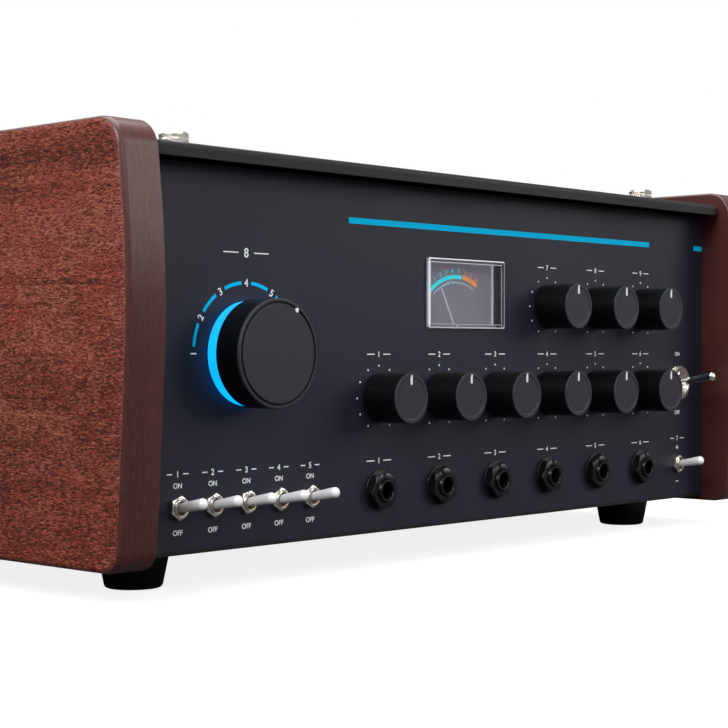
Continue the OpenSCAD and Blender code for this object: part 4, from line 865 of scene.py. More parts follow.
at = pins["mode_knob_turn"]
low, high = corners("mode_knob")
behind, ahead = panel_reach("mode_knob")
parts = mode_dial((high[0] - low[0]) / 2, ahead - MODE_THICK, ahead) + [shaft(behind, ahead - 3)]
build("turned_mode_knob", stand(parts, at, -MODE_REST),
      [knob_side, knob_face, knob_side, knob_face, pointer_white, shaft_steel],
      body="mode_knob", stands_for=["mode_knob"], crease=30)
print("small knobs:", len(small_knobs), " mode knob", round(high[0] - low[0], 1), "mm across")

# %% [markdown]
# ## Light ring
# A ring of frosted plastic behind the mode knob glows blue. It could be lit by a lamp inside, but
# the diffuser evens that out, so the ring's own surface emits the light. A soft noise makes it a shade
# weaker here and there, as a diffuser is.

# %% Light the ring


def make_glow():
    """Emission = a blue that rises and sinks a little with a soft noise."""
    material, tree, shader = new_finish("lit_diffuser", Base_Color=(0.02, 0.2, 0.4), Roughness=0.5,
                                        Emission_Strength=1.0)
    glow = ramp(tree, noise(tree, place_of(tree), 120.0), [(0.3, (0.0, 0.44, 1.3)), (0.7, (0.0, 0.56, 1.75))])
    link(tree, shader.inputs, Emission_Color=glow)
    return material


RING_HOLE_R = 13.0
low, high = corners("mode_light_ring")
ring_r = (high[0] - low[0]) / 2
ring_t = face_y - low[1]
ring_profile = eased([(RING_HOLE_R, 0, 0.2), (ring_r, 0, 0.2), (ring_r, ring_t, 0.5),
                      (RING_HOLE_R, ring_t, 0.3)])
build("glowing_mode_ring", stand([turned(ring_profile, 128, wrap=True)], pins["mode_knob_turn"]), make_glow(),
      stands_for=["mode_light_ring"])
print("light ring", round(ring_r, 2), "by", round(ring_t, 2))

# %% [markdown]
# ## Printing
# The panel's print is ink, so each mark stands only a few hundredths of a millimetre proud. A picture
# on the panel would blur close up; thin solids stay crisp. The dots round a knob stand every 30
# degrees, the mode knob's numbers are joined by arcs, and the switches say ON and OFF. Where the real
# panel has words, this one has plain numbers between two rules, since a number serves any use.

# %% Print the panel
INK = 0.06  # thickness of the print
INK_FROM = -0.01  # it starts a little inside the panel
DOT_R = 0.42
DOT_RING = 12.93  # radius of the ring of dots round a small knob
DOT_STEP = 30  # degrees
MODE_RING = 26.4  # radius of the ring of numbers round the mode knob
MODE_NUMBERS = 7
MODE_STEP = 30  # degrees
ARC_W = 1.3
ARC_FROM = 5.5  # degrees between a number's middle and its arc
TITLE_Z = 139.8
STRIPS = ((-76, 139.5), (180.2, panel_high[0]))  # from and to
STRIP_H = 2.4
CAPITAL, MODE_DIGIT_H, SIGN_H = 1.85, 2.7, 3
RULE_H = 0.45
KNOB_LABEL_UP = 17.6  # above the knob's axis
MODE_LABEL_Z = 124.5
TOGGLE_LABEL_Z, TOGGLE_ON_Z, TOGGLE_OFF_Z = 43.7, 39.5, 22.6
POWER_ON_Z, POWER_OFF_Z = 86.5, 57.3
LEVEL_LABEL_Z, PLUS_Z, MINUS_Z = 44.4, 39.8, 22.9
JACK_LABEL_Z = 43.6


def letters(text, height, heavy=0.018):
    """A word as thin solids, centred, made from a text curve and scaled to that capital height.
    heavy thickens the strokes."""
    curve = bpy.data.curves.new("lettering", "FONT")
    curve.body = text
    curve.align_x = "CENTER"
    curve.extrude = 0.5
    curve.offset = heavy
    holder = bpy.data.objects.new("lettering", curve)
    scene.collection.objects.link(holder)
    mesh = bpy.data.meshes.new_from_object(holder.evaluated_get(bpy.context.evaluated_depsgraph_get()))
    mesh.calc_loop_triangles()
    points = np.empty(len(mesh.vertices) * 3)
    mesh.vertices.foreach_get("co", points)
    faces = np.empty(len(mesh.loop_triangles) * 3, np.int32)
    mesh.loop_triangles.foreach_get("vertices", faces)
    bpy.data.objects.remove(holder)
    bpy.data.curves.remove(curve)
    bpy.data.meshes.remove(mesh)
    points = points.reshape(-1, 3) * [height / CAP_SHARE, height / CAP_SHARE, INK]
    points += [0, -height / 2, INK_FROM + INK / 2]
    faces = faces.reshape(-1, 3)
    return points, [(faces, np.zeros((len(faces), 3, 2)))]


CAP_SHARE = 1.0  # height of a capital in a text of size 1, measured below on an H
CAP_SHARE = np.ptp(letters("H", 1.0, 0.0)[0][:, 1])


INK_EDGE = [(0, INK_FROM), (0, INK_FROM + INK)]


def bar_mark(x0, x1, z, height):
    """A printed strip from x0 to x1, centred at z."""
    return on_panel(framed(x1 - x0, height, 0.1, INK_EDGE, steps=2), (x0 + x1) / 2, z)


def arc_mark(radius, width, start, end, n=12):
    """A printed arc: a small rectangle carried round the axis, angles clockwise from the top."""
    a = np.radians(np.linspace(start, end, n + 1))[:, None]
    r = radius + width * np.array([[-0.5, 0.5, 0.5, -0.5]])
    z = INK_FROM + INK * np.array([[0, 0, 1, 1]])
    return skin(np.stack(np.broadcast_arrays(r * np.sin(a), r * np.cos(a), z), -1), caps=True)


def numbered(x, z, number, width, gap=2.6, height=2.2):
    """A plain number between two rules, where a control's name would stand."""
    rule = (width / 2 - gap) * 0.9
    return [on_panel(letters(str(number), height), x, z), bar_mark(x - gap - rule, x - gap, z, RULE_H),
            bar_mark(x + gap, x + gap + rule, z, RULE_H)]


def word(text, at, z, height=CAPITAL):
    """A word or a sign above or below a control."""
    return on_panel(letters(text, height), at[0], z)


dot = turned([(0, INK_FROM), (DOT_R, INK_FROM), (DOT_R, INK_FROM + INK), (0, INK_FROM + INK)], 16)
white = []
for node in small_knobs:
    at = pins[node + "_turn"]
    for a in np.radians(np.arange(-150, 151, DOT_STEP)):
        white.append(on_panel(dot, at[0] + DOT_RING * np.sin(a), at[2] + DOT_RING * np.cos(a)))
    white += numbered(at[0], at[2] + KNOB_LABEL_UP, small_knobs.index(node) + 1, 15)
at = pins["mode_knob_turn"]
white += numbered(at[0], MODE_LABEL_Z, 8, width=25, gap=4, height=3.3)
cyan = []
for i in range(MODE_NUMBERS):
    a = MODE_STEP * i - 90
    spot = MODE_RING * np.array([np.sin(radians(a)), np.cos(radians(a))])
    white.append(on_panel(letters(str(i + 1), MODE_DIGIT_H), at[0] + spot[0], at[2] + spot[1], -a))
    if i < MODE_NUMBERS - 1:
        cyan += stand([arc_mark(MODE_RING, ARC_W, a + ARC_FROM, a + MODE_STEP - ARC_FROM)], at)
toggles = ["toggle_lever_%d" % i for i in range(1, 6)]
for i, node in enumerate(toggles, 1):
    at = pins[node + "_flip"]
    white += numbered(at[0], TOGGLE_LABEL_Z, i, 11)
    white += [word("ON", at, TOGGLE_ON_Z), word("OFF", at, TOGGLE_OFF_Z)]
power_at, level_at = pins["power_lever_flip"], pins["level_lever_flip"]
white += [word("ON", power_at, POWER_ON_Z), word("OFF", power_at, POWER_OFF_Z)]
white += [word("+", level_at, PLUS_Z, SIGN_H), word("−", level_at, MINUS_Z, SIGN_H)]
white += numbered(level_at[0], LEVEL_LABEL_Z, 7, 13)
for i, at in enumerate(jacks, 1):
    white += numbered(at[0], JACK_LABEL_Z, i, 16)
cyan += [bar_mark(x0, x1, TITLE_Z, STRIP_H) for x0, x1 in STRIPS]
build("white_panel_print", white, white_print)
build("cyan_panel_print", cyan, cyan_print)
print("printed marks:", len(white) + len(cyan), " capital height share", round(float(CAP_SHARE), 3))

# %% [markdown]
# ## Switches
# A bat switch is a threaded bush with a deep mouth, a ball in it and a lever that widens to a blunt
# tip. The nuts were tightened by hand, so no two stand at the same angle. A hexagon nut is turned too:
# its corners are the part of the hexagon that a cone leaves, so its radius is the smaller of the two.

# %% Turn the nuts, bushes and levers
PANEL_T = 3.0  # thickness of the front panel
MOUTH_WALL = 0.5
BALL_GAP = 0.15
TAG_L = 4.0
NUT_GAP = 0.05  # air between a thread and its nut
THREAD_FADE = 0.4
DOME_SHARE = 0.8  # the round of a lever's tip, as a share of its radius
CONE_SLOPE = 0.55  # how far a nut's turned corner falls for each millimetre outward


def hex_nut(flats, hole_r, z0, z1, n=96):
    """Outline radius = min(flats / 2 / cos(a mod 60 - 30), cone(z)): a hexagon with turned corners."""
    a = circle(n)
    hexagon = flats / 2 / np.cos(a % (pi / 3) - pi / 6)
    h = z1 - z0

    def ring(z, r):
        return np.column_stack([r * np.cos(a), r * np.sin(a), np.full(n, z)])

    rings = [ring(z0 + 0.1, hole_r), ring(z0, hole_r + 0.1), ring(z0, hexagon - 0.12),
             ring(z0 + 0.12, hexagon)]
    for z in np.linspace(z1 - 0.3 * h, z1, 6):
        rings.append(ring(z, np.minimum(hexagon, flats / 2 - 0.15 + (z1 - z) / CONE_SLOPE)))
    rings += [ring(z1, np.full(n, hole_r + 0.35)), ring(z1 - 0.3, hole_r)]
    return skin(np.stack([np.asarray(r) for r in rings]), wrap=True)


def threaded(pitch, depth, low, high):
    """Ripple: r - depth * |saw(z / pitch - a / 2 pi)| on the band low..high of the outer wall."""
    def ripple(a, r, z):
        return r - depth * saw(a, z, pitch) * (r > r.max() - 0.01) * within(z, low, high, THREAD_FADE)
    return ripple


def bush(radius, bore_r, pivot, floor, proud, pitch, depth):
    """A threaded bush: the outer wall and its rim, then the mouth's cone and the pit below it."""
    wall = [(radius, z) for z in np.linspace(-PANEL_T, proud - 0.25, int((proud + PANEL_T) / pitch * 6))]
    outside = [(0, -PANEL_T)] + wall + [(radius - 0.25, proud), (radius - MOUTH_WALL + 0.1, proud)]
    inside = [outside[-1], (radius - MOUTH_WALL, proud - 0.1), (bore_r, pivot), (bore_r, floor), (0, floor)]
    return turned(outside, 64, threaded(pitch, depth, 0, proud)), turned(inside, 64)


def housing(width, height, back, front, bore_r=0.0, floor=0.0, edge=0.4):
    """A moulded block behind the panel, its radius at angle a the nearer of its four walls.
    With a bore it is open in front down to the floor."""
    corner = np.arctan2(height, width)
    a = np.sort(np.concatenate([circle(40), [corner, pi - corner, pi + corner, 2 * pi - corner]]))

    def box(inset, z):
        wall_x = (width / 2 - inset) / np.maximum(np.abs(np.cos(a)), 1e-9)
        wall_y = (height / 2 - inset) / np.maximum(np.abs(np.sin(a)), 1e-9)
        r = np.minimum(wall_x, wall_y)
        return np.column_stack([r * np.cos(a), r * np.sin(a), np.full(len(a), z)])

    def round_ring(r, z):
        return np.column_stack([r * np.cos(a), r * np.sin(a), np.full(len(a), z)])

    rings = [round_ring(0, back), box(edge, back), box(0, back + edge)]
    rings += [box(0, front - edge), box(edge, front)]
    if bore_r:
        rings += [round_ring(bore_r, front), round_ring(bore_r, floor)]
    return skin(np.stack(rings + [round_ring(0, floor if bore_r else front)]))


def tags(spots, width, thickness, back, length):
    """Solder tags that stand out of a switch's back."""
    tag = housing(width, thickness, back - length, back + 0.5, edge=0.1)
    return [moved(tag, (x, y, 0)) for x, y in spots]


def bat(length, ball_r, stem_r, tip_r, tilt):
    """A ball at the pivot, a stem that widens evenly, and a blunt dome, leaning up by tilt."""
    neck = np.degrees(np.arccos(stem_r / ball_r))
    dome = tip_r * DOME_SHARE
    stem = np.linspace((stem_r + 0.05, ball_r * 0.85), (tip_r, length - dome), 12)
    profile = np.concatenate([arc((0, 0), ball_r, -90, neck, 12), stem,
                              arc((tip_r - dome, length - dome), dome, 6, 90, 8), [[0, length]]])
    return moved(turned(profile, 48), axes=about_x(-tilt))


lever_metal = metal("lever_metal", (0.94, 0.94, 0.95), 0.36, smears=0.1, metallic=0.12)
# Painted shade: the toggles' mouths are the nuts' warm nickel made dark brown, to stand for the shade deep inside
# the mouth.
mouth_painted_shade = metal("mouth_painted_shade", (0.3, 0.24, 0.16), 0.42, smears=0.3)
nut_nickel = metal("nut_nickel", (0.86, 0.82, 0.75), 0.24, smears=0.15)
switch_blue = coated("switch_blue", (0.02, 0.07, 0.2), 0.4, grain=1500.0)

TOGGLE_BUSH = (3.0, panel_reach("toggle_bodies")[1])  # radius, reach in front of the panel
TOGGLE_NUT = (8.0, 2.0)  # across flats, thickness
TOGGLE_BALL, TOGGLE_STEM, TOGGLE_TIP = 1.7, 1.6, 2.1
POWER_BUSH = (6.0, panel_reach("power_switch_body")[1])
POWER_BALL, POWER_STEM, POWER_TIP = 3.0, 1.5, 2.3
POWER_WASHER = (8.5, 0.6)  # radius, thickness
POWER_KNURL = (8.3, 0.6, panel_reach("power_switch_nut")[1])  # radius, back and front
THROW = next(j["range_deg"][1] for j in frame["joints"] if j["name"] == "power_lever_flip")
NUT_TURNS = (24, 27, 12, 29, 31, 16)  # degrees, one for each switch
TOGGLE_CASE = (7.8, 13.0, 10.0)  # width, height and depth behind the panel
POWER_CASE = (17.0, 28.0, 20.0)


def lever_of(node, ball_r, stem_r, tip_r, finish):
    """The lever of a switch, from its pivot to where its node's tip reaches."""
    at = pins[node + "_flip"]
    tip = face_y - corners(node)[0][1]
    pivot = face_y - at[1]
    dome = tip_r * DOME_SHARE
    lean = radians(THROW / 2)
    length = (tip - pivot - dome - (tip_r - dome) * np.sin(lean)) / np.cos(lean) + dome
    part = moved(bat(length, ball_r, stem_r, tip_r, THROW / 2), (0, 0, pivot))
    build("bat_" + node, stand([part], at), finish, body=node, stands_for=[node])
    return length


small_switches = toggles + ["level_lever"]
for node in small_switches:
    length = lever_of(node, TOGGLE_BALL, TOGGLE_STEM, TOGGLE_TIP, lever_metal)
power_length = lever_of("power_lever", POWER_BALL, POWER_STEM, POWER_TIP, bright_nickel)


def switch_parts(case, bush_size, ball_r, pivot, pitch, depth):
    """Bush, housing and tags of a switch; case is width, height and depth."""
    width, height, deep = case
    back = -PANEL_T - deep
    spots = [(0, k * height / 3) for k in (-1, 0, 1)]
    radius, proud = bush_size
    outside, inside = bush(radius, ball_r + BALL_GAP, pivot, pivot - ball_r - 1, proud, pitch, depth)
    return ([outside], [inside], [housing(width, height, back, -PANEL_T)],
            tags(spots, width / 6, width / 4, back, TAG_L))


def build_switches(name, places, parts, nodes, mouth):
    """One piece for all switches of a kind: plated bush, its mouth (on the toggles a painted-shade metal), blue
    case, bright tags.
    """
    kinds = [nut_nickel, mouth, switch_blue, bright_nickel]
    shapes, finishes = [], []
    for at in places:
        for group, finish in zip(parts, kinds):
            shapes += stand(group, at)
            finishes += [finish] * len(group)
    build(name, shapes, finishes, stands_for=nodes)


toggle_ats = [pins[node + "_flip"] for node in small_switches]
nut = hex_nut(TOGGLE_NUT[0], TOGGLE_BUSH[0] + NUT_GAP, 0, TOGGLE_NUT[1])
nuts = [on_panel(nut, at[0], at[2], turn) for at, turn in zip(toggle_ats, NUT_TURNS)]
build("toggle_hex_nuts", nuts, nut_nickel, stands_for=["toggle_nuts"])
build_switches("toggle_cases", toggle_ats,
               switch_parts(TOGGLE_CASE, TOGGLE_BUSH, TOGGLE_BALL, face_y - toggle_ats[0][1], 0.6, 0.18),
               ["toggle_bodies"], mouth_painted_shade)
build_switches("power_switch_case", [power_at],
               switch_parts(POWER_CASE, POWER_BUSH, POWER_BALL, face_y - power_at[1], 0.9, 0.25),
               ["power_switch_body"], nut_nickel)

bore = POWER_BUSH[0] + NUT_GAP
rim_r, rim_t = POWER_WASHER
washer = eased([(bore, 0, 0.1), (rim_r, 0, 0.1), (rim_r, rim_t, 0.2), (bore, rim_t, 0.1)])
radius, low_z, high_z = POWER_KNURL
grip = low_z + 0.3, high_z - 0.3
collar = [(bore, low_z), (radius - 0.3, low_z)] + [(radius, z) for z in np.linspace(*grip, 12)]
collar += [(radius - 0.35, high_z), (bore + 0.3, high_z), (bore, high_z - 0.3)]
power_parts = [turned(washer, 96, wrap=True),
               turned(collar, 288, diamonds(radius, *grip, ridges=40, depth=0.2), wrap=True)]
build("power_knurled_nut", stand(power_parts, power_at), nut_nickel,
      stands_for=["power_switch_nut"])
print("lever lengths", round(length, 2), "and", round(power_length, 2))

# %% [markdown]
# ## Jacks
# Six jacks take quarter-inch plugs. All that shows is a thin washer, a black hexagon nut and the
# threaded bush, whose bore is a dark hole. Behind the panel each has a moulded case with a solder tag.

# %% Turn the jacks
jack_black = coated("jack_black", (0.0035, 0.0038, 0.004), 0.28, grain=1100.0, depth=0.008)
JACK_BUSH = (4.5, panel_reach("jack_bodies")[1], 3.3)  # radius, reach in front of the panel, bore radius
JACK_WASHER = (8.2, 0.8)  # radius, thickness
JACK_NUT = (14.0, panel_reach("jack_nuts")[1])  # across flats, front
JACK_TURNS = (7, 22, 14, 3, 26, 11)  # degrees, one for each jack
JACK_CASE = (16.0, 20.0, 26.0)
JACK_FLOOR = -22.0


def jack_bush():
    """A threaded tube: the outer wall up, a rounded lip, the bore down, and the end behind the panel."""
    radius, proud, bore = JACK_BUSH
    wall = [(radius, z) for z in np.linspace(-PANEL_T, proud - 0.3, 60)]
    lip = eased([(radius, proud - 0.3), (radius - 0.2, proud, 0.1), (bore + 0.45, proud, 0.1),
                 (bore, proud - 0.5, 0.2), (bore, -PANEL_T)])
    return turned(wall + list(lip[1:]), 64, threaded(0.7, 0.2, 0, proud), wrap=True)


bore, (washer_r, washer_t) = JACK_BUSH[0] + NUT_GAP, JACK_WASHER
washer = turned(eased([(bore, 0, 0.1), (washer_r, 0, 0.1), (washer_r, washer_t, 0.3), (bore, washer_t, 0.1)]),
                96, wrap=True)
nut = hex_nut(JACK_NUT[0], bore, washer_t, JACK_NUT[1])
width, height, deep = JACK_CASE
back = -PANEL_T - deep
parts = [jack_bush(), housing(width, height, back, -PANEL_T, JACK_BUSH[2], JACK_FLOOR)]
parts += tags([(0, 0)], width * 0.75, height * 0.15, back, TAG_L)
nuts, shapes = [], []
for at, turn in zip(jacks, JACK_TURNS):
    nuts += [on_panel(washer, at[0], at[2]), on_panel(nut, at[0], at[2], turn)]
    shapes += stand(parts, at)
finishes = [jack_black, black_moulding, bright_nickel] * len(jacks)
build("jack_hex_nuts", nuts, jack_black, stands_for=["jack_nuts"])
build("jack_sockets", shapes, finishes, stands_for=["jack_bodies"])
print("jacks:", len(jacks))

# %% [markdown]
# ## Meter
# The meter is a clear window with thick walls set into the panel, a dial behind it, and a needle
# on a pivot below the window's edge. The window is a shallow tray turned face up, so its side walls
# are real thickness. In the real one light runs down them and shows as bright lines; here those lines
# are painted highlight, pale bands on the walls' edges that glow. The dial's print, its pale arc and
# the needle glow a little as well, painted light, since none of them is a lamp. The scale's digits
# are plain, and it has an arc for the safe range and another for the loud range.

# %% Make the meter
DIAL_DEPTH = 5.8  # from the panel's face back to the dial
DIAL_T = 0.8
PIVOT_OUT = 2.2  # how far the pivot's post stands out of the dial
NEEDLE = (0.5, 24.0, 5.0)  # width, length above the pivot, tail below it
NEEDLE_LEAN = 28.0  # degrees clockwise from upright, at rest
NEEDLE_FROM, NEEDLE_TO = 0.35, 0.65  # the blade's back and front, from its body's origin
SCALE_R = 26.5  # radius of the scale's arcs, round the needle's pivot
THIN_R = SCALE_R - 2.3
DIGIT_R, DIGIT_H = SCALE_R + 2.6, 1.7
SAFE, LOUD = (-40, 8), (9.5, 31)  # degrees of the quiet and the loud arc, clockwise from upright
MARKS_FROM, MARKS_TO = SAFE[0] + 2, LOUD[1] - 3
DIAL_MARKS = 9


def make_clear(name, tint, roughness):
    """Clear moulded plastic with a faint cloud, so that its walls don't vanish."""
    material, tree, shader = new_finish(name, Base_Color=tint, Transmission_Weight=1.0, IOR=1.47,
                                        Roughness=roughness)
    cloud = noise(tree, place_of(tree), 400.0, 3.0)
    link(tree, shader.inputs, Roughness=spread(tree, cloud, 0.0, 1.0, roughness, roughness + 0.04))
    return material


window_clear = make_clear("window_clear", (0.93, 0.95, 0.97), 0.03)
dial_card = coated("dial_card", (0.53, 0.48, 0.57), 0.6, grain=3000.0, depth=0.004, unevenness=0.25)
# Painted light: the window's edge bands glow pale as a painted highlight, and the dial's print, its pale arc and
# the needle glow as painted light, though none of them is a lamp.
window_edge_painted_highlight, dial_cyan_painted_glow, dial_orange_painted_glow, dial_pale_painted_glow, needle_paint_painted_glow = (
    coated(name, colour, shine, unevenness=uneven, Emission_Color=glow, Emission_Strength=strength)
    for name, colour, shine, uneven, glow, strength in (
        ("window_edge_painted_highlight", (0.72, 0.72, 0.76), 0.25, 0.1, (0.5, 0.5, 0.54), 0.45),
        ("dial_cyan_painted_glow", (0.03, 0.62, 0.66), 0.5, 0.2, (0.02, 0.5, 0.55), 1.0),
        ("dial_orange_painted_glow", (0.9, 0.25, 0.05), 0.5, 0.2, (0.9, 0.3, 0.06), 0.6),
        ("dial_pale_painted_glow", (0.7, 0.85, 0.95), 0.5, 0.2, (0.6, 0.8, 0.9), 0.3),
        ("needle_paint_painted_glow", (0.9, 0.88, 0.88), 0.4, 0.2, (0.8, 0.78, 0.8), 0.3)))

WALL, BOTTOM_END = 1.5, -3.3  # the bottom wall ends behind the panel, so that the needle can pass it
WINDOW_ROUND = 0.8  # radius of the window's upright corners
PANE_LAP = 8  # how far the pane's rings reach in before a flat cap closes it
low, high = corners("meter_window")
window = high - low
meter_x, meter_z = (low[0] + high[0]) / 2, (low[2] + high[2]) / 2
behind, ahead = panel_reach("meter_window")


def window_rings(*stations):
    """Outlines of the window at (inset, depth) stations, with a step at each side above the bottom
    wall. Below the step no ring goes further back than that wall's end."""
    rings, step = [], 0.1 + WALL - window[2] / 2
    for inset, z in stations:
        radius = max(WINDOW_ROUND - inset, 0.05)
        line = round_rectangle(window[0] - 2 * inset, window[2] - 2 * inset, radius)
        x, y = window[0] / 2 - inset, max(step, inset + radius + 0.01 - window[2] / 2)
        line = np.concatenate([line[:18], [[-x, y + 0.02], [-x, y]], line[18:], [[x, y], [x, y + 0.02]]])
        rings.append(np.column_stack([line, np.where(line[:, 1] < step + 0.01, max(z, BOTTOM_END), z)]))
    return np.stack(rings)


pane = ahead - WALL
tray = [((PANE_LAP, pane), (WALL + 0.3, pane)),
        ((WALL + 0.3, pane), (WALL, pane - 0.3)),
        ((WALL, pane - 0.3), (WALL, behind + 1.3)),
        ((WALL, behind + 1.3), (WALL, behind)),
        ((WALL, behind), (0, behind), (0, ahead - 0.5)),
        ((0, ahead - 0.5), (0.15, ahead - 0.15), (0.5, ahead)),
        ((0.5, ahead), (PANE_LAP, ahead))]
shapes = [strip(window_rings(*stations), cap) for stations, cap in zip(tray, (0, *[None] * 5, -1))]
build("meter_clear_window", [on_panel(part, meter_x, meter_z) for part in shapes],
      [window_clear, window_edge_painted_highlight, window_clear, window_edge_painted_highlight, window_clear, window_edge_painted_highlight, window_clear],
      stands_for=["meter_window"], crease=12)

low, high = corners("meter_dial_plate")
plate = high - low
plate_z = (low[2] + high[2]) / 2
pivot = pins["needle_swing"]
card_edge = [(0, -DIAL_DEPTH - DIAL_T), (0, -DIAL_DEPTH - 0.05), (0.05, -DIAL_DEPTH)]
card = framed(plate[0], plate[2], 0.6, card_edge, steps=3)
post = turned(eased([(0, -DIAL_DEPTH - 0.2), (0.8, -DIAL_DEPTH - 0.2), (0.8, PIVOT_OUT - DIAL_DEPTH, 0.2),
                     (0, PIVOT_OUT - DIAL_DEPTH)]), 24)
parts = [on_panel(card, meter_x, plate_z), on_panel(post, meter_x, pivot[2])]
finishes = [dial_card, zinc_screw]


def on_dial(shape, angle=0.0, radius=0.0):
    """Places print on the dial, at an angle clockwise from upright round the needle's pivot."""
    a = radians(angle)
    points, faces = moved(shape, (radius * np.sin(a), radius * np.cos(a), 0), about_z(-angle))
    return on_panel((points + [0, 0, -DIAL_DEPTH], faces), meter_x, pivot[2])


parts += [on_dial(arc_mark(SCALE_R, 1.7, *SAFE, 24)),
          on_dial(arc_mark(THIN_R, 0.35, MARKS_FROM, LOUD[1] - 2, 24)),
          on_dial(arc_mark(SCALE_R + 0.3, 1.9, *LOUD))]
finishes += [dial_cyan_painted_glow, dial_pale_painted_glow, dial_orange_painted_glow]
for k in range(DIAL_MARKS):
    a = MARKS_FROM + (MARKS_TO - MARKS_FROM) * k / (DIAL_MARKS - 1)
    tint = dial_cyan_painted_glow if a < SAFE[1] else dial_orange_painted_glow
    parts += [on_dial(letters(str(k), DIGIT_H), a, DIGIT_R),
              on_dial(arc_mark(THIN_R - 0.5, 0.9, a - 0.4, a + 0.4, 2))]
    finishes += [tint, tint]
build("meter_printed_dial", parts, finishes, stands_for=["meter_dial_plate"])

width, reach, tail = NEEDLE
blade_edge = [(0, NEEDLE_FROM), (0, NEEDLE_TO - 0.05), (0.05, NEEDLE_TO)]
blade = framed(width, reach - 1, 0.1, blade_edge, steps=2)
weight = framed(2.0, tail - 1, 0.3, [(0, NEEDLE_FROM), (0, NEEDLE_TO)], steps=2)
hub = turned(eased([(0.85, 0), (2.2, 0, 0.1), (2.2, 1, 0.3), (0.85, 1)]), 32, wrap=True)
needle = [hub, moved(blade, (0, (reach + 1) / 2, 0)), moved(weight, (0, -(tail + 1) / 2, 0))]
needle_out = face_y - pivot[1]
build("meter_white_needle",
      [on_panel(moved(p, (0, 0, needle_out), about_z(NEEDLE_LEAN)), meter_x, pivot[2]) for p in needle],
      needle_paint_painted_glow, body="meter_needle", stands_for=["meter_needle"])
print("window", np.round(window, 1), " needle pivot", np.round(pivot, 1))

# %% [markdown]
# ## Feet
# Four moulded feet taper towards the floor. Each has a small round at its rim, and a well underneath where
# its screw's head sits.

# %% Mould the feet
FOOT_TOP_R, FOOT_R, FOOT_ROUND = 13.5, 10.75, 1.5
FOOT_WELL = (6.0, 8.0)  # radius, depth
FOOT_HOLE_R = 2.1
low, high = corners("feet")
foot_h = high[2]
well_r, well_h = FOOT_WELL
foot_profile = eased([(well_r, 0, 0.3), (FOOT_R, 0, FOOT_ROUND), (FOOT_TOP_R, foot_h - 1, 0.5),
                      (FOOT_TOP_R - 0.6, foot_h, 0.2), (FOOT_HOLE_R, foot_h), (FOOT_HOLE_R, well_h),
                      (well_r, well_h)], 6)
foot = turned(foot_profile, 96, wrap=True)
foot_spots = [(x, y) for x in (low[0] + FOOT_TOP_R, high[0] - FOOT_TOP_R)
              for y in (low[1] + FOOT_TOP_R, high[1] - FOOT_TOP_R)]
build("moulded_feet", [moved(foot, (x, y, 0)) for x, y in foot_spots], foot_rubber,
      stands_for=["feet"])
print("feet at", np.round(foot_spots, 1).tolist())

# %% [markdown]
# ## Pressed, sawn and machined parts
# Sheet metal, machined blocks and housings already have their true shape in the drawing. What the drawing
# lacks is the small round that every real edge has, and a finish. So each of these is traced from its
# drawn part: coincident points are merged, flat areas become single faces, and a Bevel modifier rounds
# the sharp edges with even shading. Where one part has several materials, the places of the faces
# decide which face gets which.

# %% Trace a drawn part and round its edges


def drawn(node):
    """Points in millimetres and edges of a drawn part, coincident points merged."""
    mesh = frame["nodes"][node].data
    points = np.empty(len(mesh.vertices) * 3)
    mesh.vertices.foreach_get("co", points)
    edges = np.empty(len(mesh.edges) * 2, np.int32)
    mesh.edges.foreach_get("vertices", edges)
    spots, index = np.unique(np.round(points.reshape(-1, 3) / MM, 3), axis=0, return_inverse=True)
    return spots, index.ravel()[edges.reshape(-1, 2)]


def islands(node):
    """The boxes of a node's separate solids, by place. Labels spread along edges until they settle."""
    spots, edges = drawn(node)
    label = np.arange(len(spots))
    settled = False
    while not settled:
        wider = label.copy()
        least = np.minimum(label[edges[:, 0]], label[edges[:, 1]])
        np.minimum.at(wider, edges[:, 0], least)
        np.minimum.at(wider, edges[:, 1], least)
        wider = wider[wider]
        settled = bool((wider == label).all())
        label = wider
    boxes = [(spots[label == k].min(0), spots[label == k].max(0)) for k in np.unique(label)]
    return sorted(boxes, key=lambda box: tuple(np.round(box[0], 1)))


def refined(node, name, finish, round_by=0.25, others=(), body="body", crease=30):
    """A traced copy that stands for the node. others holds (finish, test) pairs: test takes the
    centres of the faces as x, y, z in millimetres and says which of them get that finish."""
    work = bmesh.new()
    work.from_mesh(frame["nodes"][node].data)
    bmesh.ops.remove_doubles(work, verts=work.verts, dist=1e-6)
    bmesh.ops.dissolve_limit(work, angle_limit=radians(0.6), verts=work.verts, edges=work.edges)
    work.verts.index_update()
    mesh = bpy.data.meshes.new(name)
    mesh.from_pydata([v.co[:] for v in work.verts], [], [[v.index for v in f.verts] for f in work.faces])
    work.free()
    mesh.shade_smooth()
    mesh.set_sharp_from_angle(angle=radians(crease))
    centres = np.empty(len(mesh.polygons) * 3)
    mesh.polygons.foreach_get("center", centres)
    x, y, z = centres.reshape(-1, 3).T / MM
    pick = np.zeros(len(mesh.polygons), np.int32)
    mesh.materials.append(finish)
    for k, (other, test) in enumerate(others, 1):
        mesh.materials.append(other)
        pick[test(x, y, z)] = k
    mesh.polygons.foreach_set("material_index", pick)
    piece = bpy.data.objects.new(name, mesh)
    scene.collection.objects.link(piece)
    if round_by:
        edge = piece.modifiers.new("rounded edges", "BEVEL")
        edge.width = round_by * MM
        edge.segments = 2
        edge.limit_method = "ANGLE"
        edge.angle_limit = radians(crease)
        edge.harden_normals = True
    return settle(piece, body, (node,))


# %% [markdown]
# ## Case
# Front, rear and base are folded steel. Rear and base have the lid's satin black powder, and the
# front has its own, a blue-black. The deck plate under the lid is brushed aluminium. The pan-head
# screws are turned, and their crossed recess is sunk where the head's grid falls inside one of two
# bars.

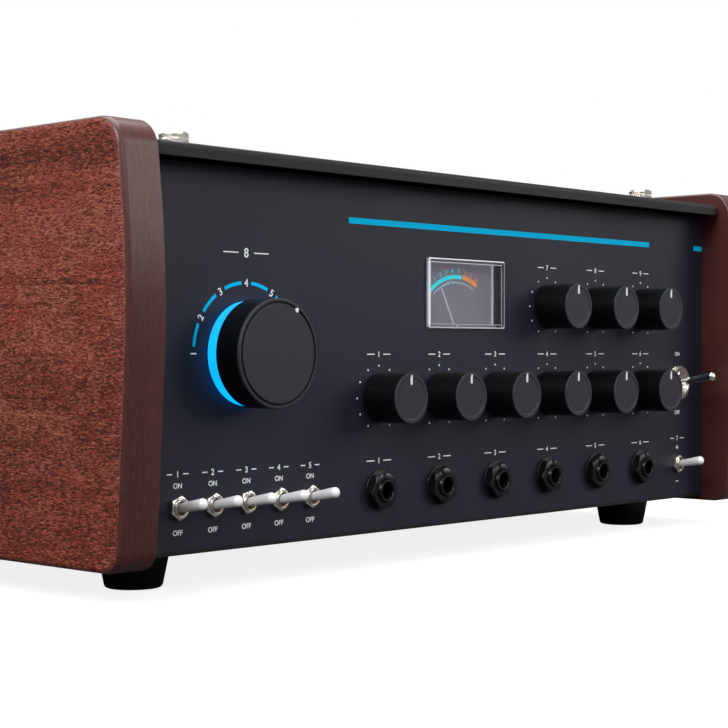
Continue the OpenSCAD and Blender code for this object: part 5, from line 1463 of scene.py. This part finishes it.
# %% Fold the case and drive its screws
brushed_deck = metal("brushed_deck", (0.62, 0.62, 0.6), 0.33, smears=0.22, depth=0.01,
                     stretch=(0.06, 1.5, 1.5))
refined("front_panel", "folded_front_panel", panel_paint)
refined("rear_panel", "folded_rear_panel", lid_paint)
refined("base_tray", "folded_base_tray", lid_paint)
refined("deck_plate", "brushed_deck_plate", brushed_deck)


SHANK_R = 1.75
HEAD_R, HEAD_H = 3.4, 2.2
BAR_W, CROSS_R = 0.13, 0.6  # half a bar's width and the recess's reach, as shares of the head's radius


def pan_screw(radius, height, shank_r, shank_l):
    """A pan head with a crossed recess, standing on z = 0 with its shank below."""
    head = arc((radius - height * 0.6, height * 0.4), height * 0.6, 90, 0, 6) * [1, 1]
    reach = np.linspace(0, radius - height * 0.6, 18)[:-1]
    profile = np.concatenate([np.column_stack([reach, np.full(len(reach), height)]), head,
                              [[radius, 0], [shank_r, 0], [shank_r, -shank_l], [0, -shank_l]]])
    r, z = profile.T[:, :, None]
    a = circle(96)[None]
    x, y = r * np.cos(a), r * np.sin(a)
    bar, cross = radius * BAR_W, radius * CROSS_R
    sunk = ((np.abs(x) < bar) | (np.abs(y) < bar)) & (r < cross) & (z > 0)
    z = z - sunk * height * 0.6 * (1 - r / cross * 0.5)
    return skin(np.stack(np.broadcast_arrays(x, y, z), -1)[::-1])


screws = []
for low, high in islands("case_screws"):
    middle, reach = (low + high) / 2, high - low
    if reach[1] > reach[2]:
        length, turn = reach[1], REAR_AXES @ about_z(middle[2])
        seat = (middle[0], high[1] - HEAD_H, middle[2])
    else:
        length, turn = reach[2], about_x(180) @ about_z(middle[0])
        seat = (middle[0], middle[1], low[2] + HEAD_H)
    screws.append(moved(pan_screw(HEAD_R, HEAD_H, SHANK_R, length - HEAD_H), seat, turn))
build("pan_head_screws", screws, zinc_screw, stands_for=["case_screws"])
print("screws:", len(screws))

# %% [markdown]
# ## Behind the panel
# Pots, the rotary switch and the meter's case are seen once the lid is off. Their shells are plated steel
# or black moulding; the solder tags and the inlet's pins are bright metal, chosen by where they stand.

# %% Finish the parts behind the panel
pin_metal = metal("pin_metal", (0.8, 0.76, 0.68), 0.22, smears=0.1)
BEHIND = face_y + PANEL_T
POT_COLLAR = 3.2  # the moulded front of a pot's can
refined("pot_bodies", "potentiometer_cans", satin_nickel, 0.15,
        others=[(black_moulding, lambda x, y, z: (y > BEHIND) & (y < BEHIND + POT_COLLAR))])
refined("pot_nuts", "potentiometer_nuts", nut_nickel, 0.15)
refined("mode_switch_body", "rotary_switch_body", black_moulding, 0.2)
refined("meter_case", "meter_back_case", black_moulding, 0.5)
inlet_low, inlet_high = corners("mains_inlet")
inlet_x, inlet_z = (inlet_low[0] + inlet_high[0]) / 2, (inlet_low[2] + inlet_high[2]) / 2
INLET_PINS = ((-7.0, 0.0), (7.0, 0.0), (0.0, 4.2))
PIN_W, PIN_H, PIN_FROM, PIN_TO = 2.0, 4.0, -12.9, 1.0


def on_pins(x, y, z):
    """Faces that belong to one of the three pins, front ends included."""
    px, pz = np.transpose(INLET_PINS)[:, :, None]
    inside = (np.abs(x - inlet_x + px) < PIN_W / 2 + 0.05) & (np.abs(z - inlet_z - pz) < PIN_H / 2 + 0.05)
    return inside.any(0) & (y > back_y + PIN_FROM) & (y < back_y + PIN_TO + 0.1)


refined("mains_inlet", "mains_inlet_socket", black_moulding, 0.2, others=[(pin_metal, on_pins)])
print("inlet at", round(float(inlet_x), 1), round(float(inlet_z), 1))

# %% [markdown]
# ## Tape transport
# This is the heart of the machine. A loop of tape lies in loose folds under a clear cover, in a tray
# painted grey. It comes out over guide posts, runs past five heads and is pulled by a capstan whose
# flywheel a belt turns. Turned parts show fine rings round their own axis, which come from the
# distance to that axis. The tape is glossy, with faint lines along its run.

# %% Finish the transport
EDGE = 0.12  # the round on small polished parts
ROLLER_CORE_R = 4.05


def from_axis(tree, at):
    """The point on the piece, seen from a vertical axis through at, in metres."""
    both = {0: add(tree, "TexCoord").outputs["Object"], 1: (at[0] * MM, at[1] * MM, 0)}
    return add(tree, "VectorMath", both, operation="SUBTRACT").outputs[0]


def ringed(name, colour, shine, at, metallic=1.0, lines=1800.0, depth=0.01):
    """A turned finish: height and shine follow noise of the distance to a vertical axis at a point."""
    material, tree, shader = new_finish(name, Base_Color=colour, Metallic=metallic)
    here = from_axis(tree, at)
    flat = add(tree, "VectorMath", {0: here, 1: (1, 1, 0)}, operation="MULTIPLY").outputs[0]
    away = add(tree, "VectorMath", {0: flat}, operation="LENGTH").outputs["Value"]
    up = add(tree, "SeparateXYZ", {0: here}).outputs["Z"]
    line = line_noise(tree, maths(tree, "ADD", away, up), lines, 3.0)
    rough = spread(tree, line, 0.0, 1.0, shine - 0.08, shine + 0.08)
    dressed(tree, shader, line, depth, Roughness=rough)
    return material


def ribbon_finish():
    """Oxide-brown tape: lines along the run, because the noise is stretched along X and Y."""
    material, tree, shader = new_finish("tape_oxide", Coat_Weight=0.3, Coat_Roughness=0.12)
    line = noise(tree, place_of(tree, scale=(8, 8, 3000)), 1.0)
    tint = ramp(tree, line, [(0.3, (0.022, 0.01, 0.006)), (0.7, (0.05, 0.024, 0.014))])
    link(tree, shader.inputs, Base_Color=tint, Roughness=spread(tree, line, 0.0, 1.0, 0.2, 0.34))
    return material


capstan, motor_at, roller_at = (pins[n] for n in ("capstan_spin", "motor_spin", "roller_spin"))
MOTOR_POSTS_FROM = corners("motor_pulley")[0][2] + 16  # above this the motor's node is its posts
tray_paint = coated("tray_paint", (0.075, 0.077, 0.082), 0.5, grain=1500.0, depth=0.05, dusty=0.1)
cover_acrylic = make_clear("cover_acrylic", (0.9, 0.93, 0.94), 0.04)
turned_steel = ringed("turned_steel", (0.55, 0.55, 0.54), 0.26, capstan)
turned_brass = ringed("turned_brass", (0.62, 0.42, 0.16), 0.28, capstan)
turned_pulley = ringed("turned_pulley", (0.72, 0.72, 0.7), 0.28, motor_at)
motor_can = ringed("motor_can", (0.34, 0.35, 0.36), 0.36, motor_at, lines=900.0)
pressed_steel = metal("pressed_steel", (0.5, 0.5, 0.49), 0.34, smears=0.2)
milled_block = metal("milled_block", (0.68, 0.68, 0.67), 0.3, smears=0.18, stretch=(0.2, 2, 2))
polished_head = metal("polished_head", (0.78, 0.78, 0.76), 0.1, smears=0.06, depth=0.002)
head_gap = coated("head_gap", (0.012, 0.011, 0.01), 0.3)
roller_rubber = ringed("roller_rubber", (0.01, 0.01, 0.011), 0.55, roller_at, metallic=0.0, lines=700.0,
                       depth=0.03)
belt_rubber = coated("belt_rubber", (0.012, 0.012, 0.012), 0.55, grain=1600.0, depth=0.04)
refined("tape_tray", "painted_tape_tray", tray_paint, 0.3)
refined("tape_cover", "clear_tape_cover", cover_acrylic, 0.4)
refined("tape_loop", "folded_tape_loop", ribbon_finish(), 0, crease=50)
refined("tape_guides", "turned_guide_posts", bright_nickel, EDGE)
refined("head_block", "milled_head_block", milled_block, 0.4)
refined("capstan_bearing", "brass_bearing", turned_brass, 0.3)
refined("capstan_flywheel", "turned_flywheel", turned_steel, 0.3, body="capstan_flywheel")
refined("drive_belt", "flat_drive_belt", belt_rubber, 0.15)
refined("motor", "motor_with_posts", motor_can, 0.5,
        others=[(pressed_steel, lambda x, y, z: z > MOTOR_POSTS_FROM)])
refined("motor_pulley", "turned_pulley", turned_pulley, 0.2, body="motor_pulley")
refined("pinch_arm", "plated_pinch_arm", pressed_steel, 0.3, body="pinch_arm")
refined("pinch_roller", "rubber_pinch_roller", roller_rubber, 0.2, body="pinch_roller",
        others=[(turned_brass, lambda x, y, z: np.hypot(x - roller_at[0], y - roller_at[1]) < ROLLER_CORE_R)])
refined("pinch_spring", "wound_pinch_spring", bright_nickel, 0, crease=60)
refined("tape_heads", "polished_tape_heads", polished_head, EDGE)
head_boxes = islands("tape_heads")
head_front = min(low[1] for low, high in head_boxes)
window = framed(1.6, 2.6, 0.3, INK_EDGE, steps=3)
slits = [moved(window, ((low[0] + high[0]) / 2, head_front, low[2] + share * (high[2] - low[2])), PANEL_AXES)
         for low, high in head_boxes for share in (0.28, 0.72)]
build("tape_head_windows", slits, head_gap)
print("heads:", len(head_boxes))

# %% [markdown]
# ## Electronics
# The board is green lacquer over copper tracks: a grid of cells whose borders and centres show through as
# tracks and pads. Cans have blue sleeves and bare tops, chips are black, the heat sink is bare
# aluminium. The transformer is copper wire under clear tape, so its colour and height run round the ring
# with the angle.

# %% Finish the electronics


def board_finish():
    """Green lacquer, lighter where a track or a pad lies under it."""
    material, tree, shader = new_finish("board_lacquer", Coat_Weight=0.4, Coat_Roughness=0.2)
    here = place_of(tree)
    cells = add(tree, "TexVoronoi", {"Vector": here, "Scale": 190.0, "Randomness": 0.4},
                distance="CHEBYCHEV", feature="F1").outputs["Distance"]
    track = spread(tree, cells, 0.42, 0.45, 0.0, 1.0)
    pad = spread(tree, cells, 0.12, 0.1, 0.0, 1.0)
    shown = maths(tree, "MAXIMUM", track, pad)
    tint = ramp(tree, shown, [(0.0, (0.004, 0.045, 0.018)), (1.0, (0.02, 0.13, 0.05))])
    dressed(tree, shader, shown, 0.05, Base_Color=tint, Roughness=spread(tree, shown, 0.0, 1.0, 0.42, 0.3))
    return material


def winding_finish(at):
    """Copper under clear tape: colour and height from noise of the angle round the core."""
    material, tree, shader = new_finish("copper_winding", Metallic=0.7, Coat_Weight=0.6, Coat_Roughness=0.15)
    here = add(tree, "SeparateXYZ", {0: from_axis(tree, at)})
    angle = maths(tree, "ARCTAN2", here.outputs["Y"], here.outputs["X"])
    turns = line_noise(tree, angle, 60.0, 2.0)
    tint = ramp(tree, turns, [(0.35, (0.28, 0.09, 0.03)), (0.65, (0.62, 0.26, 0.09))])
    dressed(tree, shader, turns, 0.25, Base_Color=tint, Roughness=spread(tree, turns, 0.0, 1.0, 0.28, 0.4))
    return material


CAN_RISE, CHIP_RISE, SINK_RISE = 26.0, 4.0, 30.0
CANS_W, SINK_W, SINK_FROM = 50, 70, 106  # the cans' and the sink's share of the board
CORE_FROM, CORE_TO = 18.2, 58.0  # the winding's lower and upper end
board_low, board_high = corners("main_board")
board_top = board_high[2] - SINK_RISE + 0.2
can_sleeve = coated("can_sleeve", (0.008, 0.02, 0.06), 0.3, unevenness=0.1)
chip_epoxy = coated("chip_epoxy", (0.014, 0.014, 0.014), 0.55, grain=3000.0, depth=0.03)
post_nylon = coated("post_nylon", (0.6, 0.6, 0.56), 0.45)
sink_metal = metal("sink_metal", (0.6, 0.6, 0.6), 0.36, smears=0.2, stretch=(2, 0.2, 2))


def by_cans(x):
    """True on the right part of the board, where only the cans stand."""
    return x > board_high[0] - CANS_W


def by_sink(x, y):
    """True at the left rear corner of the board, where the heat sink stands."""
    return (x < board_low[0] + SINK_W) & (y > board_low[1] + SINK_FROM)


refined("main_board", "populated_circuit_board", board_finish(), 0.15, others=[
    (chip_epoxy, lambda x, y, z: (z > board_top + 0.3) & (z < board_top + CHIP_RISE + 0.3)),
    (can_sleeve, lambda x, y, z: (z > board_top + 1) & (z < board_top + CAN_RISE - 0.3) & by_cans(x)),
    (pin_metal, lambda x, y, z: (z > board_top + CAN_RISE - 0.4) & by_cans(x)),
    (sink_metal, lambda x, y, z: (z > board_top + 0.5) & by_sink(x, y)),
    (post_nylon, lambda x, y, z: z < board_top - 1.7)])
core_low, core_high = corners("transformer")
core = (core_low + core_high) / 2
refined("transformer", "wound_transformer", winding_finish(core), 0.3, crease=40, others=[
    (belt_rubber, lambda x, y, z: (z < CORE_FROM) & (z > tray_low[2] + 0.1)),
    (zinc_screw, lambda x, y, z: (z > CORE_TO + 0.05) | (z < tray_low[2] + 0.1))])
print("board top", round(float(board_top), 1), " core box", np.round(core_low, 1), np.round(core_high, 1))

# %% [markdown]
# ## Studio
# A plain pale floor, a white background and a few large soft lamps. The panel is nearly black, so what it
# mirrors matters more than what falls on it. The room is dim below the horizon and brighter
# above it, and a soft box at the right front gives the cheeks' edges their sheen near the top. The
# floor looks white to the camera, but it sends little light back up. Far from the lamps it glows a
# little more, so that it meets the white background without an edge.

# %% Lay the floor and hang the lamps
FLOOR_R = 6.0  # metres, as all lengths in this cell
FLOOR_DROP = 0.0001
FLOOR_GLOW = (1.2, 3.5, 0.85, 1.0)  # from this distance to that one the glow rises from this to that
MIDDLE = (0, 0, 0.1)  # what the lamps aim at
LAMPS = (  # name, place, aim, size and power in watts
    ("key", (-1.9, -0.6, 1.5), (-0.1, 0, 0.1), 1.2, 50),
    ("overhead", (0.1, 0.2, 1.9), MIDDLE, 1.8, 42),
    ("front", (-0.2, -2.2, 1.3), MIDDLE, 1.2, 12),
    ("rear", (0.9, 2.3, 1.2), MIDDLE, 1.2, 12),
    ("right_box", (1.75, -1.7, 1.0), MIDDLE, 1.25, 15))


a = circle(96)
disc = np.column_stack([FLOOR_R * np.cos(a), FLOOR_R * np.sin(a), np.full(96, -FLOOR_DROP)])
floor_mesh = bpy.data.meshes.new("floor")
floor_mesh.from_pydata(disc.tolist(), [], [list(range(96))])
floor = bpy.data.objects.new("floor", floor_mesh)
scene.collection.objects.link(floor)
pale, tree, shader = new_finish("pale_floor", Roughness=0.9, Specular_IOR_Level=0.0, Emission_Strength=1.0)
camera_ray = add(tree, "LightPath").outputs["Is Camera Ray"]
lit = ramp(tree, camera_ray, [(0.0, grey(0.1)), (1.0, grey(0.25))])
place = add(tree, "TexCoord").outputs["Object"]
away = add(tree, "VectorMath", {0: place}, operation="LENGTH").outputs["Value"]
glow = maths(tree, "MULTIPLY", spread(tree, away, *FLOOR_GLOW), camera_ray)
link(tree, shader.inputs, Base_Color=lit, Emission_Color=glow)
floor_mesh.materials.append(pale)

world = bpy.data.worlds.new("studio")
world.use_nodes = True
scene.world = world
sky = world.node_tree
sky.nodes.clear()
upward = add(sky, "SeparateXYZ", {0: add(sky, "TexCoord").outputs["Generated"]}).outputs["Z"]
rise = spread(sky, upward, -0.03, 0.35, 0.05, 0.42)
seen = add(sky, "LightPath").outputs["Is Camera Ray"]
room = add(sky, "Background", {"Color": (1, 1, 1, 1), "Strength": rise})
white = add(sky, "Background", {"Color": (1, 1, 1, 1), "Strength": 1.0})
backdrop = add(sky, "MixShader", {0: seen, 1: room.outputs[0], 2: white.outputs[0]})
add(sky, "OutputWorld", {"Surface": backdrop.outputs[0]})

for name, at, aim, size, power in LAMPS:
    light = bpy.data.lights.new(name, "AREA")
    light.size = size
    light.energy = power
    hung = bpy.data.objects.new(name, light)
    hung.location = at
    hung.rotation_euler = (Vector(aim) - Vector(at)).to_track_quat("-Z", "Y").to_euler()
    scene.collection.objects.link(hung)
scene.view_settings.view_transform = "Standard"
print("lamps:", len(LAMPS))

# %% Import json
import json
